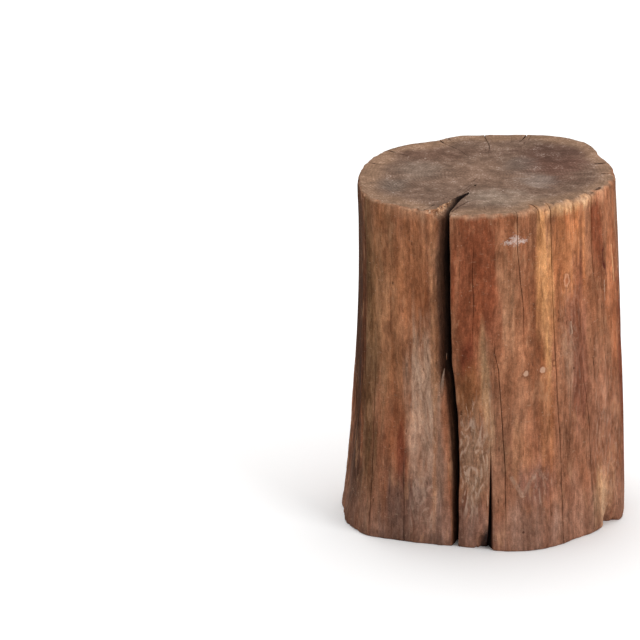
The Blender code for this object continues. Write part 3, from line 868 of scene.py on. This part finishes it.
def paint(mesh, every, side_only, columns):
    """Writes each vertex's colour, and how weathered and sawn it is and how much painted shade it takes, for
    the material to work from.

    Every vertex has the first four values, and only the side's rows, which come first, have the second four.
    """
    turns, outs, levels, kinds = every
    cut, hidden, wall_in, high = side_only
    count, ones = len(high), np.ones(len(turns))

    def on_rows(value):
        """A value of the side's rows as a column for every vertex, with 0 elsewhere."""
        column = np.zeros((len(turns), 1))
        column[:count, 0] = value
        return column

    def write(name, *values):
        layer = mesh.color_attributes.new(name, "FLOAT_COLOR", "POINT")
        layer.data.foreach_set("color", np.column_stack(values).ravel())

    sloped = smooth(*SLOPE_FADE, HEIGHT - high) * (hidden > 0)
    away = np.abs(hidden)
    # Painted shade: the split's walls go charcoal, then black, by how far past the lip they hide, less on the
    # worn slope; cracks and dents darken by their depth
    split_shade = CHARCOAL_DEPTH * smooth(*CHARCOAL, away) + (1 - CHARCOAL_DEPTH) * smooth(*BLACK, away)
    split_shade = split_shade * (1 - SLOPE_LIGHT * sloped * smooth(*SLOPE_INWARD, away))
    deep = on_rows(np.maximum(smooth(*CRACK_DARK, cut), split_shade))
    edge = radius(turns, np.full_like(turns, HEIGHT)) - outs
    steps = np.zeros(len(turns))
    steps[count - len(RIM_STEPS) * columns:count] = np.repeat(RIM_STEPS, columns)
    sawn = np.where(kinds == TOP, 1, smooth(*SAWN_STEPS, steps + layered(turns, levels, SAWN_RAGGED)))
    sawn[kinds == FOOT] = 1
    sawn[:count] *= 1 - sloped
    walled, on_slope = on_rows(smooth(*WALL_EDGE, away)), on_rows(sloped)
    lumps = smooth(*SLOPE_LUMP_EDGE, layered(turns * SLOPE_STRETCH, levels + outs, SLOPE_LUMPS))[:, None]
    inside = blend(WALL_COLOUR, blend(SLOPE_DARK, SLOPE_PALE, lumps), on_slope)
    body = blend(side_colour(turns, levels), inside, walled)
    # Slivers pale towards their tips, a painted highlight on the torn end
    up_sliver = smooth(*SPLINTER_BLEND, kinds)[:, None]
    body = np.where(kinds[:, None] >= SLIVER, blend(SPLINTER_BASE, SPLINTER_TIP_HIGHLIGHT, up_sliver), body)
    # The lip's rounding is painted darker as painted shade where it turns into the split, except where the
    # bevel stays lit
    unlit = 1 - np.interp(high, BEVEL[:, 0], BEVEL[:, 2]) / SHADE_START
    lip_shade = smooth(*LIP_DARK, wall_in) * unlit * (hidden >= 0) * (1 - sloped) * (1 - walled[:count, 0])
    body = blend(body, LIP_SHADE_COLOUR, on_rows(lip_shade))
    colour = blend(body, top_colour(turns, outs, edge), sawn[:, None])
    # The rim's pale edge: wear and a painted highlight, on the side that faces the front
    middle, half = WORN_STEPS
    worn = np.clip(1 - np.abs(steps - middle) / half, 0, 1)
    worn = worn * (WORN_LEAST + layered(turns, levels, WORN_RAGGED))
    facing = smooth(*WORN_FACES, np.cos(np.radians(turns - WORN_FACING)))
    worn = np.clip(worn * (steps > 0) * facing, 0, 1)[:, None]
    colour = blend(colour, RIM_WEAR_AND_HIGHLIGHT, WORN_SHARE * worn)
    write("tint", np.clip(colour, 0, 1), ones)
    write("slope", on_slope, walled, walled, walled)
    write("masks", weathering(turns, levels) * (kinds == SIDE), sawn, deep, ones)


def surface_point(turn, height):
    """The point of the plain surface at a direction and height, in the frame's metres."""
    out = radius(np.array([float(turn)]), np.array([float(height)]))[0]
    x, y = out * math.cos(math.radians(turn)) + PITH[0], out * math.sin(math.radians(turn)) + PITH[1]
    return x * MM, y * MM, height * MM


def top_point(x, y):
    """A point of the sawn top, from its place beside the pith."""
    return (x + PITH[0]) * MM, (y + PITH[1]) * MM, HEIGHT * MM


# Every shader node below goes into this one material
WOOD = bpy.data.materials.new("trunk_wood")
WOOD.use_nodes = True
TREE = WOOD.node_tree


def node(kind, inputs=None, **settings):
    """A shader node with its settings, and its inputs linked or set."""
    made = TREE.nodes.new(kind)
    for name, value in settings.items():
        setattr(made, name, value)
    for name, value in (inputs or {}).items():
        if isinstance(value, bpy.types.NodeSocket):
            TREE.links.new(value, made.inputs[name])
        else:
            made.inputs[name].default_value = value
    return made


def maths(operation, first, second=0.0, clamp=False):
    return node("ShaderNodeMath", {0: first, 1: second}, operation=operation, use_clamp=clamp).outputs[0]


def times(first, second):
    return maths("MULTIPLY", first, second)


def plus(first, second):
    return maths("ADD", first, second)


def vectors(operation, first, second):
    return node("ShaderNodeVectorMath", {0: first, 1: second}, operation=operation).outputs["Vector"]


def measured(operation, first, second=(0, 0, 0)):
    """A number read from vectors: a length, a distance or a dot product."""
    return node("ShaderNodeVectorMath", {0: first, 1: second}, operation=operation).outputs["Value"]


def along_grain(where, share):
    """The place with its height taken as a share, so that a noise read there is drawn out along the grain."""
    return vectors("MULTIPLY", where, (1, 1, share))


def scaled(vector, amount):
    return node("ShaderNodeVectorMath", {0: vector, "Scale": amount}, operation="SCALE").outputs["Vector"]


def spread(value, low, high, to_low=0.0, to_high=1.0):
    """The value read from low to high, and given back from to_low to to_high with an even bend."""
    inputs = {"Value": value, "From Min": low, "From Max": high, "To Min": to_low, "To Max": to_high}
    return node("ShaderNodeMapRange", inputs, interpolation_type="SMOOTHSTEP").outputs["Result"]


def mixed(factor, first, second):
    """One colour laid over another. The second may be a colour as seen, three numbers from 0 to 255."""
    if isinstance(second, tuple) and len(second) == 3:
        second = (*srgb(*second), 1)
    return node("ShaderNodeMix", {0: factor, 6: first, 7: second}, data_type="RGBA").outputs[2]


def blended(factor, first, second):
    return node("ShaderNodeMix", {0: factor, 2: first, 3: second}, data_type="FLOAT").outputs[0]


def noise(vector, scale, detail=3.0, roughness=0.55):
    inputs = {"Vector": vector, "Scale": scale, "Detail": detail, "Roughness": roughness}
    return node("ShaderNodeTexNoise", inputs).outputs["Fac"]


def shade(colour, factor, low, high):
    """Darkens and lightens a colour evenly with a noise."""
    return scaled(colour, spread(factor, 0.3, 0.7, low, high))


def warm_shade(colour, factor, low, high):
    """Darkens towards red and lightens towards pale with a noise, as wood does."""
    dark = (low, low * 0.95, low * 0.92, 1)
    light = (high, high * 1.04, high * 1.06, 1)
    return vectors("MULTIPLY", colour, mixed(spread(factor, 0.3, 0.7), dark, light))


def over(factor, amount, colour, laid):
    """Lays a colour over another, by a factor from 0 to 1 and an amount."""
    return mixed(times(factor, amount), colour, laid)


Mark = namedtuple("Mark", "name turn height half_width half_height")
PLUGS = (Mark("left_plug", 288.3, 235.6, 4.4, 4.6), Mark("right_plug", 296.9, 237.2, 4.6, 5.2))
KNOTS = [Mark(*row) for row in (
    ("oval", 303.6, 242.8, 3.0, 4.4),
    ("rear", 60.0, 300.0, 9.0, 14.0),
    ("rear_left", 133.0, 214.0, 5.0, 8.0),
    ("rear_low", 92.0, 120.0, 4.0, 6.0),
    ("side", 12.0, 236.0, 4.0, 6.5),
)]
PALE_KNOTS = (Mark("almond", 311.2, 347.8, 4.4, 8.4),)
PIN_HOLES = [Mark(*row) for row in (
    ("high", 300.0, 386.0, 1.4, 1.8),
    ("middle", 304.8, 313.8, 1.6, 2.0),
    ("low", 314.7, 230.0, 1.4, 1.8),
    ("foot", 286.8, 26.0, 1.6, 1.6),
    ("left", 218.5, 300.0, 1.2, 1.8),
    ("left_high", 224.8, 344.7, 1.8, 3.0),
    ("left_centre", 234.8, 151.6, 1.4, 2.4),
    ("left_low", 226.0, 196.0, 1.2, 1.8),
    ("rear", 104.0, 356.0, 1.6, 2.0),
    ("rear_low", 46.0, 186.0, 1.6, 2.0),
)]
# Pale scuffs, which join in one star
SCUFFS = [Mark(*row) for row in (
    ("star", 282.3, 414.0, 7.0, 7.0),
    ("star_arm", 286.0, 411.0, 10.0, 3.0),
    ("star_arm_left", 279.4, 411.5, 8.0, 3.0),
)]
# A thin line from one place to another: on the side (direction, height), on the top (x, y) from the pith
PALE_LINE = (198, 166, 142)
DARK_LINE = (54, 36, 29)
Stroke = namedtuple("Stroke", "name start end half_width strength colour", defaults=(DARK_LINE,))
SIDE_STROKES = [Stroke(*row) for row in (
    ("low_v_left", (281.8, 98), (286.4, 75), 4.2, 0.26, PALE_LINE),
    ("low_v_right", (286.4, 75), (291.2, 98), 3.8, 0.2, PALE_LINE),
    ("flame_line", (259.8, 206), (262.5, 168), 0.8, 0.4, PALE_LINE),
    ("wedge_edge", (271.0, 60), (270.6, 130), 1.0, 0.5, PALE_LINE),
    ("right_line_a", (326.0, 262), (328.2, 206), 1.0, 0.5),
    ("right_line_b", (341.5, 405), (341.2, 344), 1.3, 0.55),
    ("right_line_c", (335.6, 300), (336.4, 214), 0.9, 0.45),
    ("right_pale", (345.6, 370), (346.2, 322), 1.7, 0.7, (214, 170, 126)),
    ("right_pale_low", (337.4, 330), (337.0, 304), 1.3, 0.5, PALE_LINE),
    ("slit", (337.2, 371), (338.2, 346), 3.4, 0.9, (80, 38, 32)),
    ("slit_tail", (338.2, 346), (339.2, 334), 1.6, 0.6, (96, 50, 40)),
    ("purple_dash", (315.0, 306), (315.4, 290), 2.4, 0.6, (98, 58, 46)),
    ("pale_dash", (313.6, 292), (314.2, 276), 2.0, 0.5, PALE_LINE),
    ("dash_a", (323.0, 402), (323.2, 386), 1.1, 0.5, (110, 58, 38)),
    ("dash_b", (309.0, 414), (309.2, 400), 1.0, 0.4, (110, 58, 38)),
    ("dash_c", (290.6, 330), (290.4, 300), 1.2, 0.4, (110, 58, 38)),
    ("middle_line", (280.2, 262), (279.2, 236), 0.8, 0.4),
    ("left_line", (234.0, 430), (233.2, 350), 0.8, 0.35),
)]
TOP_STROKES = [Stroke(*row) for row in (
    ("rear_short", (-43.9, 155), (-28.6, 124.4), 1.0, 0.7),
    ("rear_middle", (64.4, 162), (54.7, 130), 1.1, 0.75),
    ("rear_faint", (39, 158), (39, 138), 0.8, 0.45),
    ("rear_inner", (3.3, 124), (4.7, 97), 0.7, 0.35),
    ("left_rear", (-120.3, 103.6), (-99.4, 82.8), 1.0, 0.65),
    ("right_rear", (106, 147), (98, 138), 0.8, 0.4),
    ("right_side", (118, 41), (154.7, 49.4), 1.0, 0.6),
    ("gash", (143.2, -54), (131.5, -74), 3.4, 0.92),
    ("pith_branch", (-18.9, -31), (-10, -14), 1.5, 0.6),
    ("pith_side", (-27, -44), (-14, -52), 1.2, 0.55),
    ("lip_arc_low", (-45, -149), (-37, -129), 2.0, 0.8),
    ("lip_arc_high", (-37, -129), (-24.4, -108.9), 1.9, 0.75),
    ("lip_arc_end", (-24.4, -108.9), (-8, -96), 1.4, 0.6),
    ("left_front", (-82.8, -97.8), (-60.6, -106), 1.4, 0.6),
    ("front_fine_c", (60, -70), (96, -104), 1.1, 0.6),
    ("front_fine_d", (30, -40), (66, -66), 1.0, 0.45),
    ("front_fine_e", (-70, -60), (-112, -86), 1.1, 0.5),
    ("front_fine_f", (64, -100), (84, -118), 1.3, 0.6),
    ("front_fine_a", (18, -62), (26, -84), 1.2, 0.55),
    ("front_fine_b", (-6, -120), (-2, -148), 1.0, 0.55),
)]
STROKE_WANDER = 0.004
STROKE_CORE = 0.3


def add_strokes(where, colour, lines):
    """Thin lines between pairs of points, wandering and broken like real cracks and scratches."""
    drift = node("ShaderNodeTexNoise", {"Vector": where, "Scale": 90.0, "Detail": 3.0}).outputs["Color"]
    drift = scaled(vectors("SUBTRACT", drift, (0.5, 0.5, 0.5)), STROKE_WANDER)
    moved = vectors("ADD", where, drift)
    broken = spread(noise(where, 260, 3), 0.32, 0.5, 0.35, 1.0)
    for start, end, stroke in lines:
        along = Vector(end) - Vector(start)
        off = vectors("SUBTRACT", moved, start)
        share = measured("DOT_PRODUCT", off, tuple(along / along.length_squared))
        share = maths("ADD", share, 0.0, clamp=True)
        gap = measured("DISTANCE", off, scaled(tuple(along), share))
        width = stroke.half_width * MM
        line = times(spread(gap, width, width * STROKE_CORE), broken)
        colour = over(line, stroke.strength, colour, stroke.colour)
    return colour


def nearest_mark(where, marks):
    """How far away the nearest mark is, where 1 is its edge."""
    nearest = None
    for mark in marks:
        centre = surface_point(mark.turn, mark.height)
        across, along = 1 / (mark.half_width * MM), 1 / (mark.half_height * MM)
        off = vectors("SUBTRACT", where, centre)
        sized = vectors("MULTIPLY", off, (across, across, along))
        reach = measured("LENGTH", sized)
        nearest = reach if nearest is None else maths("MINIMUM", nearest, reach)
    return nearest


def ring(reach, middle, half):
    """1 on a ring round a mark, and 0 away from it."""
    off = maths("ABSOLUTE", maths("SUBTRACT", reach, middle))
    return spread(off, half, 0)


# How marks are painted: how ragged they are, and their layers. A layer is a spot or a ring, its two sizes as
# shares of the mark's half size, its strength and its colour
MARK_LAYERS = (
    (PLUGS, 0.8, (
        (spread, 1.0, 0.7, 0.62, (200, 162, 138)),
        (ring, 1.12, 0.24, 0.3, (100, 62, 46)),
    )),
    (KNOTS, 1.15, (
        (spread, 1.5, 0.6, 0.3, (128, 72, 46)),
        (ring, 0.68, 0.24, 0.5, (190, 134, 94)),
        (ring, 1.02, 0.3, 0.5, (78, 42, 29)),
        (spread, 0.42, 0.2, 0.5, (84, 44, 32)),
    )),
    (PALE_KNOTS, 0.9, (
        (spread, 1.0, 0.5, 0.5, (160, 96, 68)),
        (ring, 0.85, 0.34, 0.45, (206, 158, 130)),
        (ring, 1.25, 0.24, 0.4, (104, 60, 42)),
    )),
    (PIN_HOLES, 0.0, ((spread, 1.3, 0.7, 0.7, (52, 30, 22)),)),
)


def add_marks(where, colour):
    """Round plugs, knots with a dark eye, pin-holes and pale scuffs."""
    ragged = times(maths("SUBTRACT", noise(where, 190, 4), 0.5), 1.1)
    for marks, rough, layers in MARK_LAYERS:
        reach = plus(nearest_mark(where, marks), times(ragged, rough))
        for drawn, first, second, strength, laid in layers:
            colour = over(drawn(reach, first, second), strength, colour, laid)
    broken = times(maths("SUBTRACT", noise(where, 420, 4, 0.7), 0.5), 5.0)
    scuff = plus(nearest_mark(where, SCUFFS), broken)
    colour = over(spread(scuff, 1.3, 0.1), 0.62, colour, (208, 190, 182))
    lines = [(surface_point(*stroke.start), surface_point(*stroke.end), stroke) for stroke in SIDE_STROKES]
    return add_strokes(where, colour, lines)


def beaded(where, colour, slope):
    """The worn slope of the split's lip: broken beads of pale wood with dark spots between."""
    beads = node("ShaderNodeTexVoronoi", {"Vector": where, "Scale": 330.0, "Randomness": 1.0})
    picked = node("ShaderNodeSeparateColor", {"Color": beads.outputs["Color"]})
    round_top = spread(beads.outputs["Distance"], 0.62, 0.2)
    pale = times(round_top, spread(picked.outputs[0], 0.5, 0.7))
    colour = over(times(pale, slope), 0.65, colour, (206, 174, 148))
    dark = times(round_top, spread(picked.outputs[1], 0.62, 0.72))
    colour = over(times(dark, slope), 0.7, colour, (58, 34, 26))
    return colour, times(round_top, slope)


def dotted(where, scale, channel, size, chance):
    """Round dots, only in the cells whose random number is high enough."""
    cells = node("ShaderNodeTexVoronoi", {"Vector": where, "Scale": scale})
    chosen = node("ShaderNodeSeparateColor", {"Color": cells.outputs["Color"]}).outputs[channel]
    return times(spread(cells.outputs["Distance"], *size), spread(chosen, *chance))


def side_look(where, tint, grey):
    """Peeled and oiled wood along the grain: streaks, fine lines, pits, scratches and worn fibres.

    Returns its colour and the height of its bumps.
    """
    wander = node("ShaderNodeTexNoise", {"Vector": where, "Scale": 7.0, "Detail": 2.0}).outputs["Color"]
    centred = vectors("SUBTRACT", wander, (0.5, 0.5, 0.5))
    bent = vectors("ADD", where, scaled(centred, spread(grey, 0, 1, 0.016, 0.05)))
    grain = along_grain(bent, 0.045)
    short = along_grain(bent, 0.2)
    level = vectors("MULTIPLY", where, (0.16, 0.16, 1))
    fine = noise(grain, 420, 4)
    middle = noise(grain, 105, 4)
    broad = noise(grain, 32, 3)
    fibre = noise(short, 520, 3)
    speckle = noise(where, 640, 2)
    colour = shade(tint, broad, 0.92, 1.08)
    warm = spread(noise(short, 46, 4), 0.35, 0.65)
    colour = vectors("MULTIPLY", colour, mixed(warm, (0.96, 1.01, 1.04, 1), (1.04, 0.99, 0.96, 1)))
    cloudy = noise(along_grain(bent, 0.22), 22, 4, 0.6)
    mottle = noise(along_grain(bent, 0.34), 58, 5, 0.66)
    fleck = noise(along_grain(bent, 0.5), 200, 4, 0.6)
    smear = noise(along_grain(bent, 0.1), 62, 4, 0.6)
    colour = warm_shade(colour, cloudy, 0.83, 1.18)
    colour = warm_shade(colour, smear, 0.88, 1.13)
    colour = warm_shade(colour, mottle, 0.76, 1.26)
    for pattern, dark, light in (
        (fleck, 0.81, 1.22),
        (middle, 0.94, 1.06),
        (fine, 0.90, 1.10),
        (fibre, 0.91, 1.09),
        (speckle, 0.85, 1.15),
    ):
        colour = shade(colour, pattern, dark, light)
    blotch = spread(noise(along_grain(bent, 0.4), 58, 6, 0.68), 0.56, 0.70)
    colour = over(blotch, 0.42, colour, (86, 50, 36))
    licks = spread(noise(along_grain(bent, 0.36), 47, 6, 0.7), 0.55, 0.68)
    colour = over(licks, 0.3, colour, (196, 146, 110))
    lines = spread(noise(grain, 230, 2), 0.66, 0.73)
    colour = over(lines, 0.42, colour, (66, 38, 28))
    pits = dotted(along_grain(where, 0.4), 190.0, 0, (0.32, 0.14), (0.9, 0.94))
    colour = over(pits, 0.5, colour, (62, 38, 28))
    grains = dotted(where, 260.0, 1, (0.30, 0.12), (0.9, 0.95))
    colour = over(grains, 0.26, colour, (200, 166, 140))
    scratch = spread(noise(level, 430, 3, 0.6), 0.64, 0.74)
    colour = over(scratch, 0.26, colour, (196, 160, 132))
    dust = spread(noise(where, 170, 6, 0.72), 0.6, 0.74)
    colour = over(dust, 0.22, colour, (180, 152, 130))
    flakes = spread(noise(short, 250, 5, 0.62), 0.5, 0.66)
    colour = over(times(flakes, grey), 0.36, colour, (180, 154, 132))
    figure = noise(along_grain(bent, 0.3), 26, 2, 0.5)
    figure = maths("SINE", times(figure, 90.0))
    curls = times(spread(figure, 0.2, 0.95), spread(fleck, 0.36, 0.58))
    worst = times(grey, grey)
    colour = over(times(curls, worst), 0.62, colour, (188, 158, 138))
    creases = times(spread(figure, -0.55, -0.98), spread(fibre, 0.4, 0.6))
    colour = over(times(creases, worst), 0.5, colour, (84, 58, 45))
    gaps = spread(noise(short, 190, 5, 0.6), 0.58, 0.70)
    colour = over(times(gaps, grey), 0.45, colour, (90, 64, 50))
    worn = times(plus(fibre, flakes), spread(grey, 0, 1, 0.3, 0.9))
    raised = plus(times(fine, 0.25), times(fleck, 0.6))
    sunk = plus(times(lines, 0.4), times(pits, 0.7))
    return colour, maths("SUBTRACT", plus(worn, raised), sunk)


def sawn_look(where, tint):
    """The sawn face: speckle, mottling, faint growth rings, thin rays and pale scuffs, with its bumps."""
    flat = vectors("MULTIPLY", vectors("SUBTRACT", where, (PITH[0] * MM, PITH[1] * MM, 0)), (1, 1, 0))
    distance = measured("LENGTH", flat)
    cloud = noise(where, 18, 4, 0.6)
    mottle = noise(where, 70, 6, 0.68)
    speckle = noise(where, 420, 4, 0.7)
    colour = shade(tint, cloud, 0.86, 1.12)
    colour = shade(colour, mottle, 0.74, 1.24)
    colour = shade(colour, speckle, 0.76, 1.22)
    wobbled = plus(distance, times(noise(where, 14, 3), 0.012))
    rings = maths("SINE", times(wobbled, 1500))
    colour = shade(colour, plus(times(rings, 0.2), 0.5), 0.93, 1.06)
    aim = node("ShaderNodeVectorMath", {0: flat}, operation="NORMALIZE").outputs["Vector"]
    outward = node("ShaderNodeCombineXYZ", {2: times(distance, 2.4)}).outputs["Vector"]
    rays = spread(noise(vectors("ADD", aim, outward), 44, 3, 0.6), 0.60, 0.68)
    towards_rim = spread(distance, 0.06, 0.14)
    colour = over(times(rays, towards_rim), 0.36, colour, (70, 50, 42))
    specks = spread(noise(where, 300, 5, 0.75), 0.60, 0.70)
    colour = over(specks, 0.4, colour, (66, 48, 42))
    scuffs = times(spread(mottle, 0.48, 0.66), spread(speckle, 0.5, 0.66))
    colour = over(scuffs, 0.5, colour, (190, 178, 168))
    bumps = plus(times(speckle, 0.6), times(mottle, 0.8))
    return colour, bumps


def finish_wood():
    """Peeled, oiled and weathered wood on the side, end grain on the sawn faces, and splits and cracks
    darkened with painted shade.
    """
    shader = TREE.nodes["Principled BSDF"]
    where = node("ShaderNodeTexCoord").outputs["Object"]
    tint = node("ShaderNodeVertexColor", layer_name="tint").outputs["Color"]
    masks = node("ShaderNodeVertexColor", layer_name="masks").outputs["Color"]
    parts = node("ShaderNodeSeparateColor", {"Color": masks})
    grey, sawn, deep = parts.outputs[0], parts.outputs[1], parts.outputs[2]
    slope = node("ShaderNodeVertexColor", layer_name="slope").outputs["Color"]
    slope = node("ShaderNodeSeparateColor", {"Color": slope})
    slope, walled = slope.outputs[0], slope.outputs[1]
    side, side_bumps = side_look(where, tint, grey)
    side = add_marks(where, side)
    side, beads = beaded(where, side, slope)
    side_bumps = plus(side_bumps, times(beads, 1.5))
    top, top_bumps = sawn_look(where, tint)
    lines = [(top_point(*s.start), top_point(*s.end), s) for s in TOP_STROKES]
    top = add_strokes(where, top, lines)
    # Painted shade in the split, the cracks and the dents: dark brown first, then near black, by the depth in
    # the masks
    painted_shade_colour = mixed(walled, (*srgb(76, 42, 31), 1), (*srgb(52, 43, 40), 1))
    wood = over(spread(deep, 0, 0.55), 0.8, mixed(sawn, side, top), painted_shade_colour)
    wood = over(spread(deep, 0.45, 1), 0.97, wood, (24, 19, 18))
    height = blended(sawn, side_bumps, top_bumps)
    bump = node("ShaderNodeBump", {"Height": height, "Strength": 0.6, "Distance": 0.0011})
    TREE.links.new(bump.outputs["Normal"], shader.inputs["Normal"])
    TREE.links.new(wood, shader.inputs["Base Color"])
    TREE.links.new(spread(grey, 0, 1, 0.62, 0.8), shader.inputs["Roughness"])
    shader.inputs["IOR"].default_value = 1.25
    shader.inputs["Specular IOR Level"].default_value = 0.015


FLOOR_SIZE = 14
# A lamp's name, place, aim, width and power
LAMPS = (("key", (2.4, -2.3, 2.2), (0, 0, 0.2), 1.8, 66), ("top", (-0.4, 1.6, 4.0), (-0.4, 1.6, 0), 5.0, 190))


def make_stage():
    """A plain pale floor with soft light from the front right, from above and from all round."""
    mesh = bpy.data.meshes.new("floor")
    corners = [(x * FLOOR_SIZE, y * FLOOR_SIZE, 0) for x, y in ((-1, -1), (1, -1), (1, 1), (-1, 1))]
    mesh.from_pydata(corners, [], [(0, 1, 2, 3)])
    floor = bpy.data.objects.new("floor", mesh)
    bpy.context.scene.collection.objects.link(floor)
    pale = bpy.data.materials.new("floor_pale")
    pale.use_nodes = True
    surface = pale.node_tree.nodes["Principled BSDF"]
    surface.inputs["Base Color"].default_value = (0.86, 0.86, 0.86, 1)
    surface.inputs["Roughness"].default_value = 0.9
    surface.inputs["Specular IOR Level"].default_value = 0.1
    mesh.materials.append(pale)
    world = bpy.data.worlds.new("studio")
    world.use_nodes = True
    world.node_tree.nodes["Background"].inputs["Color"].default_value = (1, 1, 1, 1)
    world.node_tree.nodes["Background"].inputs["Strength"].default_value = 0.52
    bpy.context.scene.world = world
    for name, place, aim, width, power in LAMPS:
        lamp = bpy.data.lights.new(name, "AREA")
        lamp.shape = "SQUARE"
        lamp.size = width
        lamp.energy = power
        held = bpy.data.objects.new(name, lamp)
        held.location = place
        held.rotation_euler = (Vector(aim) - Vector(place)).to_track_quat("-Z", "Y").to_euler()
        bpy.context.scene.collection.objects.link(held)


# The camera looks along +Y and down onto the trunk, as in the photo
CAMERA_AIM = Vector((-0.2096, -0.0333, 0.265))
CAMERA_DISTANCE = 6.88
CAMERA_RISE = math.radians(19.5)
CAMERA_LENS = 303.8


def make_camera():
    data = bpy.data.cameras.new("camera")
    data.lens = CAMERA_LENS
    data.sensor_width = 36
    camera = bpy.data.objects.new("camera", data)
    back = Vector((0, -math.cos(CAMERA_RISE), math.sin(CAMERA_RISE)))
    camera.location = CAMERA_AIM + back * CAMERA_DISTANCE
    camera.rotation_euler = (math.pi / 2 - CAMERA_RISE, 0, 0)
    bpy.context.scene.collection.objects.link(camera)
    bpy.context.scene.camera = camera


make_camera()
make_stage()
trunk_skin = make_skin()
finish_wood()
trunk_skin.data.materials.append(WOOD)
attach(trunk_skin, "root")
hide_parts("trunk")
bpy.context.scene.view_settings.view_transform = "Standard"
